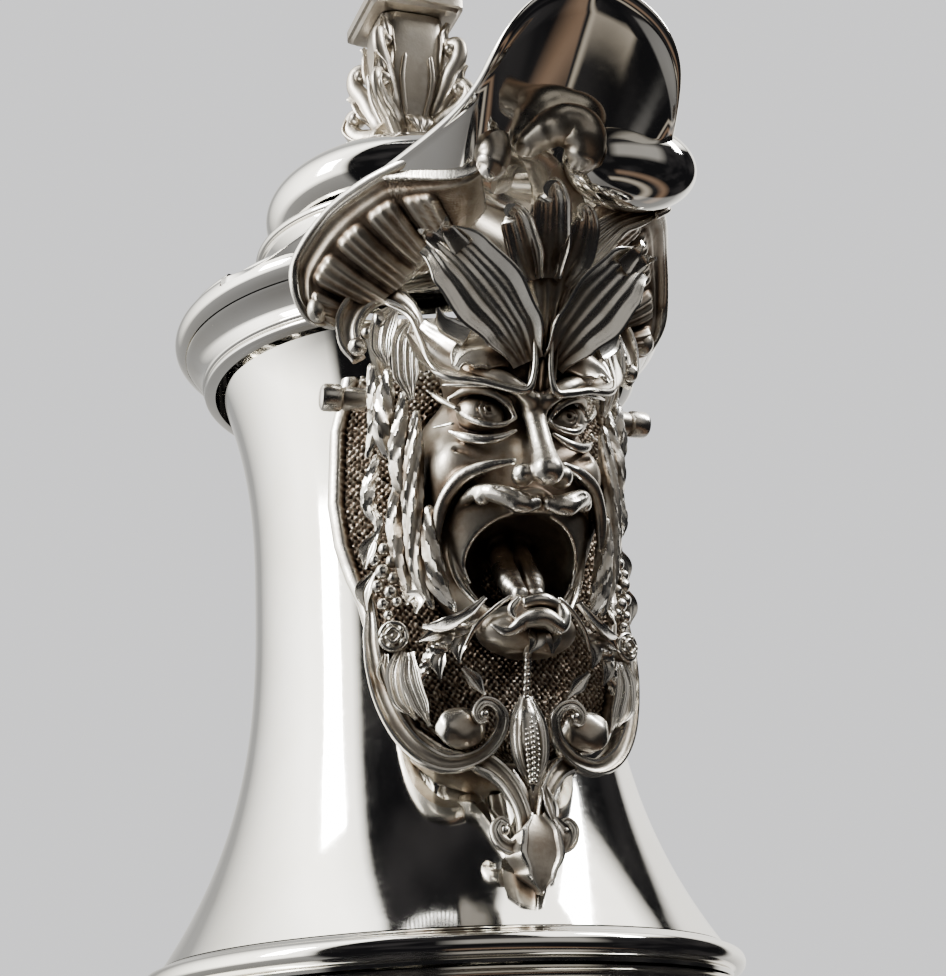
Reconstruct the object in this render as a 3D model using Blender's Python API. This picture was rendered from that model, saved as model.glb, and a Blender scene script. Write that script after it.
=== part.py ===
"""Lidded silver water pitcher with a mask mount under the spout.

The frame is in metres with +Z up.  The origin is on the body's axis at the foot's underside.  The spout and
its mask face -Y, and the handle and the lid's hinge are at +Y.  Sizes below are in millimetres.
"""
import math

import bmesh
import bpy
from mathutils import Matrix, Vector

MM = 0.001
GAP = 0.3

# ---- driving dimensions, mm -------------------------------------------------------------------------------
LIP_REACH = 100.0
SHEET = 1.5

FOOT_TOP = 6.0
KNOP_BOTTOM = 26.0
KNOP_TOP = 32.0
BOWL_TOP = 128.0
BOWL_WIDEST = 88.0
BOWL_RADIUS = 74.0
NECK_BOTTOM = 134.3
NECK_WAIST = 206.0
NECK_TOP = 247.0
WAIST_RADIUS = 34.0
FLARE_LOW = 16.7
FLARE_LOW_SPAN = 70.0
FLARE_LOW_POWER = 2.74
FLARE_HIGH = 6.4
FLARE_HIGH_SPAN = 42.0
FLARE_HIGH_POWER = 2.56
RIM_TOP = 262.0
RIM_RADIUS = 49.7
RIM_BORE = 41.5

LIP_ROOT_RADIUS = 44.8
LIP_ROOT_Z = 250.0
LIP_RISE = 18.0
LIP_SWEEP = 1.45
LIP_CUT_DEG = 58.0

LID_RADIUS = 44.0
LID_FRONT_Y = -28.0
LID_STEP_RADIUS = 33.0
SKIRT_TOP = 278.5
DOME_RADIUS = 31.0
DOME_Z = 287.0
DOME_TOP = 300.5

# The plate behind the mask: its ends, its half width there in degrees, its stand off the neck, its sheet.
PLATE_LOW = 191.0
PLATE_HIGH = 236.0
PLATE_HALF_LOW = 33.0
PLATE_HALF_HIGH = 48.0
PLATE_STAND = GAP + 0.1
PLATE_SHEET = 1.6
PLATE_CUT_LOW = 150.0

HINGE_Y = 52.0
HINGE_Z = 268.0
HINGE_BARREL = 3.0
HINGE_PIN = 1.1
PIN_CLEARANCE = 0.09
KNUCKLE_HALF = 3.9

TURN_STEPS = 32


# ---- scene and small helpers ------------------------------------------------------------------------------
def clear_scene():
    for item in list(bpy.data.objects):
        bpy.data.objects.remove(item, do_unlink=True)


def material(name, colour, roughness, metallic=1.0):
    mat = bpy.data.materials.new(name)
    mat.use_nodes = True
    shader = mat.node_tree.nodes["Principled BSDF"]
    shader.inputs["Base Color"].default_value = (*colour, 1.0)
    shader.inputs["Roughness"].default_value = roughness
    shader.inputs["Metallic"].default_value = metallic
    mat.diffuse_color = (*colour, 1.0)
    return mat


def add_object(name, mesh, mat, parent=None):
    item = bpy.data.objects.new(name, mesh)
    bpy.context.collection.objects.link(item)
    if mat is not None:
        mesh.materials.append(mat)
    if parent is not None:
        item.parent = parent
        item.matrix_parent_inverse = Matrix.Translation(-parent.location)
    return item


def finish_mesh(name, bm, mat, parent=None, smooth=True):
    bmesh.ops.recalc_face_normals(bm, faces=bm.faces)
    mesh = bpy.data.meshes.new(name)
    bm.to_mesh(mesh)
    bm.free()
    if smooth:
        mesh.shade_smooth()
        mesh.set_sharp_from_angle(angle=math.radians(40))
    return add_object(name, mesh, mat, parent)


def cut_away(item, cutter):
    """Takes the cutter's shape out of an item, and hides the cutter."""
    step = item.modifiers.new(cutter.name, "BOOLEAN")
    step.operation = "DIFFERENCE"
    step.object = cutter
    step.solver = "EXACT"
    cutter.hide_render = True
    cutter.display_type = "WIRE"


def bezier(p0, p1, p2, p3, t):
    s = 1.0 - t
    weights = (s * s * s, 3 * s * s * t, 3 * s * t * t, t * t * t)
    return tuple(sum(w * p[i] for w, p in zip(weights, (p0, p1, p2, p3))) for i in range(len(p0)))


def bezier_points(p0, p1, p2, p3, count):
    return [bezier(p0, p1, p2, p3, i / count) for i in range(count + 1)]


def arc(centre, radius, start_deg, end_deg, count):
    points = []
    for i in range(count + 1):
        angle = math.radians(start_deg + (end_deg - start_deg) * i / count)
        points.append((centre[0] + radius * math.cos(angle), centre[1] + radius * math.sin(angle)))
    return points


def turned(name, outline, mat, parent=None, steps=TURN_STEPS, closed=True):
    """A solid of revolution about the body's axis from (radius, z) points in mm."""
    bm = bmesh.new()
    verts = [bm.verts.new((r * MM, 0.0, z * MM)) for r, z in outline]
    pairs = list(zip(verts, verts[1:]))
    if closed:
        pairs.append((verts[-1], verts[0]))
    edges = [bm.edges.new(pair) for pair in pairs]
    bmesh.ops.spin(bm, geom=verts + edges, cent=(0, 0, 0), axis=(0, 0, 1), angle=2 * math.pi, steps=steps)
    bmesh.ops.remove_doubles(bm, verts=bm.verts, dist=1e-6)
    return finish_mesh(name, bm, mat, parent)


def turned_part(name, outline, mat, start_deg, sweep_deg, steps):
    """A turned solid that covers only part of the circle, with flat ends."""
    bm = bmesh.new()
    start = math.radians(start_deg)
    verts = [bm.verts.new((r * MM * math.cos(start), r * MM * math.sin(start), z * MM)) for r, z in outline]
    face = bm.faces.new(verts)
    geom = [face] + list(face.edges) + list(face.verts)
    bmesh.ops.spin(bm, geom=geom, cent=(0, 0, 0), axis=(0, 0, 1), angle=math.radians(sweep_deg), steps=steps)
    return finish_mesh(name, bm, mat)


def shell(name, surface, thickness, count_u, count_v, mat, offset=1.0):
    """A sheet over surface(u, v), u and v from 0 to 1, made solid by a Solidify modifier."""
    bm = bmesh.new()
    rows = []
    for j in range(count_v + 1):
        across = [Vector(surface(i / count_u, j / count_v)) * MM for i in range(count_u + 1)]
        rows.append([bm.verts.new(point) for point in across])
    for low, high in zip(rows, rows[1:]):
        for i in range(count_u):
            bm.faces.new((low[i], low[i + 1], high[i + 1], high[i]))
    mesh = bpy.data.meshes.new(name)
    bm.to_mesh(mesh)
    bm.free()
    mesh.shade_smooth()
    item = add_object(name, mesh, mat)
    solid = item.modifiers.new("thickness", "SOLIDIFY")
    solid.thickness = thickness * MM
    solid.offset = offset
    return item


def pebble(name, centre, size, mat, parent=None, turn=(0.0, 0.0, 0.0), segments=12, rings=8):
    """A closed ellipsoid with its half sizes in mm, turned by Euler degrees about its centre."""
    bm = bmesh.new()
    bmesh.ops.create_uvsphere(bm, u_segments=segments, v_segments=rings, radius=1.0)
    bmesh.ops.scale(bm, vec=Vector(size) * MM, verts=bm.verts)
    item = finish_mesh(name, bm, mat, parent)
    item.location = Vector(centre) * MM
    item.rotation_euler = [math.radians(angle) for angle in turn]
    return item


def rod(name, points, radii, mat, parent=None, resolution=1):
    """A round rod along (x, y, z) points in mm, its radius given at each point."""
    curve = bpy.data.curves.new(name, "CURVE")
    curve.dimensions = "3D"
    curve.bevel_depth = MM
    curve.bevel_resolution = resolution
    curve.use_fill_caps = True
    spline = curve.splines.new("POLY")
    spline.points.add(len(points) - 1)
    for slot, point, radius in zip(spline.points, points, radii):
        slot.co = (*(Vector(point) * MM), 1.0)
        slot.radius = radius
    curve.materials.append(mat)
    item = bpy.data.objects.new(name, curve)
    bpy.context.collection.objects.link(item)
    if parent is not None:
        item.parent = parent
        item.matrix_parent_inverse = Matrix.Translation(-parent.location)
    return item


def block(name, low, high, mat, parent=None, bevel=0.0):
    bm = bmesh.new()
    bmesh.ops.create_cube(bm, size=1.0)
    size = Vector(high) - Vector(low)
    bmesh.ops.scale(bm, vec=size * MM, verts=bm.verts)
    bmesh.ops.translate(bm, vec=(Vector(low) + size / 2) * MM, verts=bm.verts)
    item = finish_mesh(name, bm, mat, parent, smooth=False)
    if bevel:
        edge = item.modifiers.new("edges", "BEVEL")
        edge.width = bevel * MM
        edge.segments = 2
    return item


def cylinder_x(name, y, z, radius, x0, x1, sides=16):
    """A bare cylinder mesh object along X, used as a pin or as a cutter."""
    bm = bmesh.new()
    bmesh.ops.create_cone(bm, cap_ends=True, segments=sides, radius1=radius * MM, radius2=radius * MM,
                          depth=(x1 - x0) * MM)
    bmesh.ops.rotate(bm, cent=(0, 0, 0), matrix=Matrix.Rotation(math.pi / 2, 3, "Y"), verts=bm.verts)
    bmesh.ops.translate(bm, vec=Vector(((x0 + x1) / 2, y, z)) * MM, verts=bm.verts)
    return finish_mesh(name, bm, None)


# ---- the body's turned surfaces ---------------------------------------------------------------------------
def neck_radius(z):
    """The neck's outside: a waist with a wide flare below and a short flare above."""
    if z < NECK_WAIST:
        return WAIST_RADIUS + FLARE_LOW * ((NECK_WAIST - z) / FLARE_LOW_SPAN) ** FLARE_LOW_POWER
    return WAIST_RADIUS + FLARE_HIGH * ((z - NECK_WAIST) / FLARE_HIGH_SPAN) ** FLARE_HIGH_POWER


def on_neck(azimuth_deg, z, relief):
    """A point standing relief mm proud of the neck; azimuth runs from the spout's side towards +X."""
    angle = math.radians(azimuth_deg)
    radius = neck_radius(z) + relief
    return Vector((math.sin(angle) * radius, -math.cos(angle) * radius, z))


def bowl_outline():
    upper = bezier_points((53.0, BOWL_TOP), (64.0, 123.0), (BOWL_RADIUS, 108.0), (BOWL_RADIUS, BOWL_WIDEST), 6)
    lower = bezier_points((BOWL_RADIUS, BOWL_WIDEST), (BOWL_RADIUS, 58.0), (46.0, 42.0),
                          (20.0, KNOP_TOP + GAP), 8)
    return upper + lower[1:]


def build_bowl(mat):
    outer = bowl_outline()
    inner = [(r - SHEET, z) for r, z in outer[:-3]]
    floor = [(18.0, 44.0), (0.0, 42.0)]
    outline = outer + [(0.0, KNOP_TOP + GAP)]
    outline = floor[::-1] + inner[::-1] + outline
    turned("bowl", outline, mat, closed=False)


def build_neck(mat):
    levels = [NECK_BOTTOM + (NECK_TOP - NECK_BOTTOM) * i / 11 for i in range(12)]
    outer = [(neck_radius(z), z) for z in levels]
    inner = [(r - SHEET, z) for r, z in outer]
    turned("neck", outer[::-1] + inner, mat)


def build_shoulder_band(mat):
    low = BOWL_TOP + GAP
    high = NECK_BOTTOM - GAP
    middle = (low + high) / 2
    outline = [(50.2, high), (52.6, high)] + arc((53.2, middle), 2.4, 60, -60, 4) + [(52.8, low), (50.2, low)]
    turned("shoulder_band", outline, mat)


def rim_outline():
    """Bead, hollow and round moulding under a flat top that the lid rests on."""
    bead = arc((42.6, 248.9), 1.5, -70, 60, 3)
    hollow = [(43.9, 251.6), (45.3, 254.4)]
    torus = arc((45.9, 258.2), 3.8, -70, 88, 6)
    return [(RIM_BORE, NECK_TOP + GAP)] + bead + hollow + torus + [(RIM_BORE, RIM_TOP)]


def build_rim(mat):
    sweep = 360.0 - 2 * LIP_CUT_DEG
    turned_part("rim_moulding", rim_outline(), mat, -90.0 + LIP_CUT_DEG, sweep, 26)


def build_foot(metal):
    rim = [(42.0, 0.0), (48.5, 0.0)] + arc((48.0, 2.8), 2.4, -60, 70, 4) + [(46.0, FOOT_TOP), (42.0, FOOT_TOP)]
    turned("foot_rim", rim[::-1], metal)
    low = FOOT_TOP + GAP
    high = KNOP_BOTTOM - GAP
    outer = bezier_points((46.5, low), (44.0, 15.0), (20.0, 12.0), (16.0, high), 7)
    inner = bezier_points((44.5, low), (41.0, 13.5), (18.0, 10.0), (12.0, high - 3.0), 7)
    top = [(0.0, high)]
    under = [(0.0, high - 3.0)]
    turned("pedestal", under + inner[::-1] + outer + top, metal, closed=False)
    knop = [(0.0, KNOP_TOP), (16.5, KNOP_TOP)] + arc((17.0, 29.0), 3.2, 50, -50, 4) + [(16.5, KNOP_BOTTOM)]
    turned("stem_knop", knop + [(0.0, KNOP_BOTTOM)], metal, closed=False)


# ---- the spout lip ----------------------------------------------------------------------------------------
def lip_edge(t):
    """The lip's edge in plan from the side (t = 0) to the tip (t = 1), with its height."""
    side = RIM_RADIUS - 0.9
    x, y = bezier((side, 4.0), (side, -40.0), (15.0, -LIP_REACH), (0.0, -LIP_REACH), t)
    rise = LIP_RISE * max(0.0, -y / LIP_REACH) ** 3.0
    return Vector((x, y, RIM_TOP + 2.5 + rise))


def lip_root(t):
    """Where the lip leaves the rim: on top of the moulding at the sides, on the neck at the front."""
    edge = lip_edge(t)
    azimuth = math.degrees(math.atan2(edge.x, -edge.y))
    blend = min(1.0, max(0.0, (azimuth - 38.0) / 10.0))
    blend = blend * blend * (3 - 2 * blend)
    radius = LIP_ROOT_RADIUS + blend * 1.8
    z = LIP_ROOT_Z + blend * (RIM_TOP + GAP - LIP_ROOT_Z)
    angle = math.radians(azimuth)
    return Vector((math.sin(angle) * radius, -math.cos(angle) * radius, z))


def lip_surface(side, v):
    """side runs from -1 at one side of the spout through 0 at its tip to 1; v runs from root to edge."""
    t = 1.0 - abs(side)
    edge = lip_edge(t)
    root = lip_root(t)
    point = root.lerp(edge, v)
    point.z = root.z + (edge.z - root.z) * v ** LIP_SWEEP
    if side < 0:
        point.x = -point.x
    return point


def build_lip(mat):
    shell("spout_lip", lambda u, v: lip_surface(2 * u - 1, v), SHEET, 30, 5, mat, offset=-1.0)


# ---- the handle -------------------------------------------------------------------------------------------
def handle_path():
    crown = bezier_points((0, 57, 243), (0, 66, 262), (0, 89, 262), (0, 88, 236), 8)
    fall = bezier_points((0, 88, 236), (0, 87, 200), (0, 76, 168), (0, 72.5, 134), 8)
    return crown + fall[1:]


def grip_radius(fraction):
    return 4.2 + 1.4 * math.sin(math.pi * fraction)


def build_handle(mat):
    path = handle_path()
    last = len(path) - 1
    radii = [grip_radius(i / last) for i in range(last + 1)]
    rod("handle_grip", path, radii, mat, resolution=2)
    upper = pebble("handle_upper_mount", (0, 46.5, 238), (9.0, 11.5, 10.0), mat, segments=14)
    cut_away(upper, bpy.data.objects["neck_clearance"])
    upper_socket = cylinder_like("upper_socket", path[0], path[1], 7.0, 14.0)
    cut_away(upper, upper_socket)
    lower = pebble("handle_lower_mount", (0, 68.5, 122), (9.5, 12.0, 10.5), mat, segments=14)
    cut_away(lower, bpy.data.objects["bowl_clearance"])
    lower_socket = cylinder_like("lower_socket", path[-1], path[-2], 7.0, 14.0)
    cut_away(lower, lower_socket)
    build_back_leaf(mat)


def build_back_leaf(mat):
    """A raised acanthus leaf lying along the outside of the grip."""
    path = handle_path()
    last = len(path) - 1
    radii = [2.0, 2.6, 2.9, 2.9, 2.6, 1.8]
    spine = []
    for i, radius in enumerate(radii, start=5):
        along = Vector(path[i + 1]) - Vector(path[i - 1])
        outward = Vector((0.0, -along.z, along.y)).normalized()
        spine.append(Vector(path[i]) + outward * (grip_radius(i / last) + radius + GAP + 0.2))
    rod("handle_back_leaf", spine, radii, mat)


def cylinder_like(name, start, towards, radius, length):
    """A cutter from a point along a direction, a little wider than the rod that it clears."""
    start = Vector(start)
    direction = (Vector(towards) - start).normalized()
    begin = start - direction * GAP
    bm = bmesh.new()
    bmesh.ops.create_cone(bm, cap_ends=True, segments=16, radius1=radius * MM, radius2=radius * MM,
                          depth=length * MM)
    item = finish_mesh(name, bm, None)
    item.location = (begin + direction * length / 2) * MM
    item.rotation_mode = "QUATERNION"
    item.rotation_quaternion = direction.to_track_quat("Z", "Y")
    item.hide_render = True
    item.display_type = "WIRE"
    return item


# ---- clearances that the applied castings are cut back to -------------------------------------------------
def build_clearances():
    levels = [NECK_BOTTOM + (NECK_TOP - NECK_BOTTOM) * i / 11 for i in range(12)]
    column = [(neck_radius(z) + GAP, z) for z in levels]
    outline = [(0.0, NECK_BOTTOM)] + column + [(0.0, NECK_TOP)]
    neck = turned("neck_clearance", outline, None, closed=False)
    swollen = [(r + GAP, z) for r, z in bowl_outline()]
    bowl = turned("bowl_clearance", [(0.0, BOWL_TOP + 3.0)] + [(swollen[0][0], BOWL_TOP + 3.0)] + swollen
                  + [(0.0, KNOP_TOP)], None, closed=False)
    for item in (neck, bowl):
        item.hide_render = True
        item.display_type = "WIRE"


# ---- the mask mount under the spout -----------------------------------------------------------------------
def build_backplate(mat):
    def surface(u, v):
        z = PLATE_LOW + (PLATE_HIGH - PLATE_LOW) * v
        half = PLATE_HALF_LOW + (PLATE_HALF_HIGH - PLATE_HALF_LOW) * v
        return on_neck((2 * u - 1) * half, z, PLATE_STAND)
    shell("mask_backplate", surface, PLATE_SHEET, 16, 6, mat, offset=1.0)


def face_blank(name, centre, size, mat):
    """A head-sized ellipsoid cut back to the plate behind it."""
    item = pebble(name, centre, size, mat, segments=20, rings=14)
    back = bpy.data.objects["plate_clearance"]
    cut_away(item, back)
    return item


def build_plate_clearance():
    levels = [PLATE_CUT_LOW + (NECK_TOP - PLATE_CUT_LOW) * i / 10 for i in range(11)]
    column = [(neck_radius(z) + PLATE_STAND + PLATE_SHEET + GAP + 0.1, z) for z in levels]
    item = turned("plate_clearance", [(0.0, PLATE_CUT_LOW)] + column + [(0.0, NECK_TOP)], None, closed=False)
    item.hide_render = True
    item.display_type = "WIRE"


def build_face(mat):
    face = face_blank("mask_face", (0, -46, 206), (17.0, 15.5, 18.0), mat)
    mouth = pebble("mouth_hollow", (0, -62, 197), (8.0, 11.0, 6.5), None, segments=14)
    cut_away(face, mouth)
    mouth.hide_render = True
    pebble("mask_nose", (0, -64.6, 208.5), (3.2, 2.6, 4.6), mat, turn=(-8, 0, 0), segments=10, rings=6)
    pebble("mask_tongue", (0, -58.0, 196.4), (3.0, 2.6, 4.0), mat, segments=10, rings=6)


def build_headdress(mat):
    rod("headdress_palmette", [(0, -61.5, 227), (0, -66.5, 235), (0, -71, 244), (0, -74, 252)],
        [3.2, 4.6, 6.2, 3.2], mat)
    for side, word in ((-1, "left"), (1, "right")):
        rod("brow_leaf_" + word, [(side * 6.5, -62, 226.5), (side * 12.5, -64, 235),
                                  (side * 17.5, -66, 243), (side * 21, -67, 249)],
            [2.6, 4.6, 4.2, 1.6], mat)
        rod("ear_scroll_" + word, [(side * 21.5, -44, 233), (side * 24, -44.5, 240), (side * 25, -45, 246)],
            [2.6, 3.8, 2.0], mat)


def build_fan_collars(mat):
    def fan(side):
        def surface(u, v):
            along = side * (0.16 + 0.40 * u)
            reach = 0.06 + (0.50 + 0.22 * u) * v
            point = lip_surface(along, reach)
            ahead = lip_surface(along + side * 0.01, reach) - point
            out = lip_surface(along, reach + 0.01) - point
            normal = ahead.cross(out).normalized() * side
            if normal.z > 0:
                normal = -normal
            return point + normal * 2.6
        return surface
    for side, word in ((-1, "left"), (1, "right")):
        shell("fan_collar_" + word, fan(side), 2.2, 10, 4, mat, offset=0.0)


def build_side_pieces(mat):
    for side, word in ((-1, "left"), (1, "right")):
        rod("side_peg_" + word, [on_neck(side * 33, 230, 7.5), on_neck(side * 40, 230, 7.8),
                                 on_neck(side * 47, 230, 8.0)], [2.6, 2.9, 2.2], mat)
        rod("hair_lock_" + word, [on_neck(side * 32, 223, 6.0), on_neck(side * 31, 215, 6.6),
                                  on_neck(side * 30.5, 206, 6.4), on_neck(side * 31, 198, 6.0)],
            [2.6, 3.4, 3.0, 1.6], mat)
        pebble("rosette_" + word, on_neck(side * 26.5, 184.5, 8.4), (5.4, 3.6, 5.4), mat,
               turn=(0, 0, side * 26.5), segments=12, rings=6)
        rod("husk_drop_" + word, [on_neck(side * 24.5, 177.4, 5.6), on_neck(side * 24, 172, 6.0),
                                  on_neck(side * 22, 166, 4.6)], [1.8, 2.6, 1.0], mat)


def build_scrolls(mat):
    for side, word in ((-1, "left"), (1, "right")):
        upper = [on_neck(side * 37.5, 188, 3.8), on_neck(side * 36, 178, 3.4), on_neck(side * 31, 169, 3.2),
                 on_neck(side * 21, 162.6, 3.4), on_neck(side * 12.5, 162.6, 4.2)]
        rod("c_scroll_" + word, upper, [1.8, 1.8, 1.8, 1.8, 1.8], mat)
        pebble("c_scroll_eye_" + word, on_neck(side * 9.0, 170.3, 9.0), (3.4, 3.2, 3.4), mat, segments=10,
               rings=6)
        lower = [on_neck(side * 10.5, 157.6, 3.0), on_neck(side * 6.5, 155.2, 3.2),
                 on_neck(side * 5.5, 151.4, 3.4), on_neck(side * 8.0, 148.0, 3.4)]
        rod("s_scroll_" + word, lower, [1.5, 1.6, 1.6, 1.5], mat)


def build_pendants(mat):
    rod("chin_knot", [(-6.5, -58.6, 184.6), (0, -60.0, 183.6), (6.5, -58.6, 184.6)], [2.2, 2.9, 2.2], mat)
    rod("pod_pendant", [(0, -48.4, 177.5), (0, -47.0, 170.0), (0, -45.8, 161.5)], [2.4, 3.6, 1.2], mat)
    rod("drop_boss", [(0, -51.6, 145.5), (0, -52.4, 142.0), (0, -52.6, 138.5)], [2.2, 3.0, 1.2], mat)


# ---- the lid and its finial -------------------------------------------------------------------------------
def lid_outline():
    """Flange, hollow step, then a flattened dome; one thin sheet with an open underside."""
    low = RIM_TOP + GAP
    outer = [(LID_RADIUS, low), (LID_RADIUS, low + 1.8), (40.0, low + 3.2)]
    outer += bezier_points((38.0, low + 4.0), (34.5, low + 6.0), (LID_STEP_RADIUS, low + 12.0),
                           (LID_STEP_RADIUS, SKIRT_TOP), 3)
    return outer


def build_lid(mat, parent):
    low = RIM_TOP + GAP
    outer = lid_outline()
    inner = [(36.5, low), (33.0, low + 4.0), (31.2, low + 10.0), (31.2, SKIRT_TOP)]
    skirt = turned("lid_skirt", outer + inner[::-1], mat, parent)
    trim = block("lid_front_trim", (-60, -60, low - 5), (60, LID_FRONT_Y, low + 3.6), None)
    cut_away(skirt, trim)
    trim.hide_render = True
    base = SKIRT_TOP + GAP
    side = arc_ellipse(DOME_RADIUS, DOME_TOP - DOME_Z, DOME_Z, -35, 80, 8)
    hollow = [(r - SHEET, z - 1.1) for r, z in side[1:-1]]
    outline = [(0.0, DOME_TOP)] + side[::-1] + [(28.6, base), (26.4, base)] + hollow
    cap = turned("lid_dome", outline + [(0.0, DOME_TOP - SHEET)], mat, parent, closed=False)
    bore = turned("finial_bore", [(0.0, 290.0), (1.6, 290.0), (1.6, 310.0), (0.0, 310.0)], None, closed=False)
    cut_away(cap, bore)


def arc_ellipse(radius, height, centre_z, start_deg, end_deg, count):
    points = []
    for i in range(count + 1):
        angle = math.radians(start_deg + (end_deg - start_deg) * i / count)
        points.append((radius * math.cos(angle), centre_z + height * math.sin(angle)))
    return points


def hinge_profile(foot):
    """Barrel circle with a foot; points are (y, z) in mm, anticlockwise seen from +X."""
    return arc((HINGE_Y, HINGE_Z), HINGE_BARREL, foot["start"], foot["end"], 12) + foot["points"]


def extruded_x(name, profile, x0, x1, mat, parent=None):
    bm = bmesh.new()
    ring = [bm.verts.new((x0 * MM, y * MM, z * MM)) for y, z in profile]
    face = bm.faces.new(ring)
    moved = bmesh.ops.extrude_face_region(bm, geom=[face])
    verts = [v for v in moved["geom"] if isinstance(v, bmesh.types.BMVert)]
    bmesh.ops.translate(bm, vec=((x1 - x0) * MM, 0, 0), verts=verts)
    return finish_mesh(name, bm, mat, parent)


def build_hinge(mat, pin_mat, parent):
    bore = cylinder_x("hinge_bore", HINGE_Y, HINGE_Z, HINGE_PIN + PIN_CLEARANCE, -20, 20)
    fixed = {"start": -60, "end": 200, "points": [(45.4, 264.6), (45.4, RIM_TOP + GAP + 0.1),
                                                 (54.0, RIM_TOP + GAP + 0.1)]}
    outer = 11.0
    inner = KNUCKLE_HALF + GAP
    for side, word in ((-1, "left"), (1, "right")):
        x0, x1 = sorted((side * inner, side * outer))
        knuckle = extruded_x("hinge_knuckle_" + word, hinge_profile(fixed), x0, x1, mat)
        cut_away(knuckle, bore)
    strap_top = HINGE_Z + 0.4
    moving = {"start": -88, "end": 165, "points": [(46.0, strap_top), (40.5, strap_top), (38.6, 268.2),
                                                  (39.0, 266.8), (42.0, 265.8), (46.0, 265.1)]}
    leaf = extruded_x("lid_hinge_leaf", hinge_profile(moving), -KNUCKLE_HALF, KNUCKLE_HALF, mat, parent)
    cut_away(leaf, bore)
    pin = cylinder_x("hinge_pin", HINGE_Y, HINGE_Z, HINGE_PIN, -12.0, 12.0)
    pin.data.materials.append(pin_mat)


def build_thumbpiece(mat, parent):
    rod("thumbpiece", [(0, 50.6, 272.2), (0, 51.2, 278), (0, 54.5, 285), (0, 58.6, 288.5)],
        [2.2, 3.2, 3.6, 2.2], mat, parent)


def build_finial(mat, parent):
    base = DOME_TOP + GAP
    stem = [(0.0, 334.0), (7.5, 334.0), (6.4, 326.0), (4.6, 314.0), (5.6, 305.0), (7.4, base + 0.6), (7.4, base),
            (0.0, base)]
    turned("finial_stem", stem, mat, parent, steps=12, closed=False)
    for i in range(4):
        angle = math.radians(45 + 90 * i)
        out = Vector((math.cos(angle), math.sin(angle), 0))
        up = Vector((0, 0, 1))
        points = [out * 9.6 + up * 306, out * 10.4 + up * 314, out * 14.0 + up * 321, out * 14.4 + up * 327]
        rod("finial_arm_%d" % (i + 1), points, [1.6, 2.2, 2.8, 2.0], mat, parent)
    block("finial_abacus", (-10.5, -10.5, 334.3), (10.5, 10.5, 338.2), mat, parent, bevel=0.5)
    pebble("finial_knob", (0, 0, 341.7), (6.5, 6.5, 3.2), mat, parent)
    nut = [(0.0, 296.2), (4.0, 296.2), (4.0, 293.4), (0.0, 293.4)]
    turned("finial_nut", nut, mat, parent, steps=6, closed=False)


# ---- assembly ---------------------------------------------------------------------------------------------
def main():
    clear_scene()
    polished = material("polished_silver", (0.86, 0.85, 0.82), 0.08)
    cast = material("cast_silver", (0.62, 0.60, 0.56), 0.26)
    steel = material("pin_silver", (0.72, 0.71, 0.69), 0.2)
    hinge = bpy.data.objects.new("lid_axis", None)
    hinge.location = (0.0, HINGE_Y * MM, HINGE_Z * MM)
    bpy.context.collection.objects.link(hinge)

    build_clearances()
    build_plate_clearance()
    build_foot(polished)
    build_bowl(polished)
    build_shoulder_band(polished)
    build_neck(polished)
    build_rim(polished)
    build_lip(polished)
    build_handle(cast)
    build_backplate(cast)
    build_face(cast)
    build_headdress(cast)
    build_fan_collars(cast)
    build_side_pieces(cast)
    build_scrolls(cast)
    build_pendants(cast)
    build_lid(polished, hinge)
    build_hinge(polished, steel, hinge)
    build_thumbpiece(cast, hinge)
    build_finial(cast, hinge)


main()
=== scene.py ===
"""The looks of a lidded silver pitcher with a cast mask mount under its spout.

Sizes in this file are in millimetres in the pitcher's own frame, +Z up with the spout at -Y, and become
metres when a mesh is made.
"""
import math

import bmesh
import bpy
import numpy as np
import openvdb
from mathutils import Matrix, Vector
from mathutils.kdtree import KDTree


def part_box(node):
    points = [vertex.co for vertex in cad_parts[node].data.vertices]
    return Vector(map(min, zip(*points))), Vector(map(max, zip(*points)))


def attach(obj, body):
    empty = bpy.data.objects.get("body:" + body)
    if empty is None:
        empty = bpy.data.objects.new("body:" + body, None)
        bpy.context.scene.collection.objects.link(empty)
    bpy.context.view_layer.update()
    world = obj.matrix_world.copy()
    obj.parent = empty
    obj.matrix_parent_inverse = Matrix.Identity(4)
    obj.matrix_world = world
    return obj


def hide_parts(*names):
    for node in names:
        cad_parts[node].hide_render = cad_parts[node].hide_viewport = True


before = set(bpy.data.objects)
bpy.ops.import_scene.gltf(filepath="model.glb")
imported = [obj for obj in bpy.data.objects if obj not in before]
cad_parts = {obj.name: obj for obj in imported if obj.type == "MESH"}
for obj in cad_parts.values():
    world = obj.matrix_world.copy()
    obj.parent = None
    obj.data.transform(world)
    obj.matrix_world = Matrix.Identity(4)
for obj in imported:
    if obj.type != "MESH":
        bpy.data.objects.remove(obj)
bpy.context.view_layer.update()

MM = 0.001


def box_mm(node):
    low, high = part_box(node)
    return Vector(low) / MM, Vector(high) / MM


# ---- sizes read from the frame ----------------------------------------------------------------------------
NECK_LOW, NECK_HIGH = (corner.z for corner in box_mm("neck"))
NECK_WAIST = NECK_LOW + 0.636 * (NECK_HIGH - NECK_LOW)
WAIST_RADIUS = 34.0
FLARE_LOW = 16.7
FLARE_LOW_SPAN = 70.0
FLARE_LOW_POWER = 2.74
FLARE_HIGH = 6.4
FLARE_HIGH_SPAN = 42.0
FLARE_HIGH_POWER = 2.56
RIM_LOW, RIM_HIGH = (corner.z for corner in box_mm("rim_moulding"))
LIP_REACH = -box_mm("spout_lip")[0].y
SHEET = 1.5
SHARP_DEG = 38.0
LIP_ROOT_RADIUS = 44.8
LIP_ROOT_Z = 250.0
LIP_CUT_DEG = 68.0
COLLAR_DEG = 37.0
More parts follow.
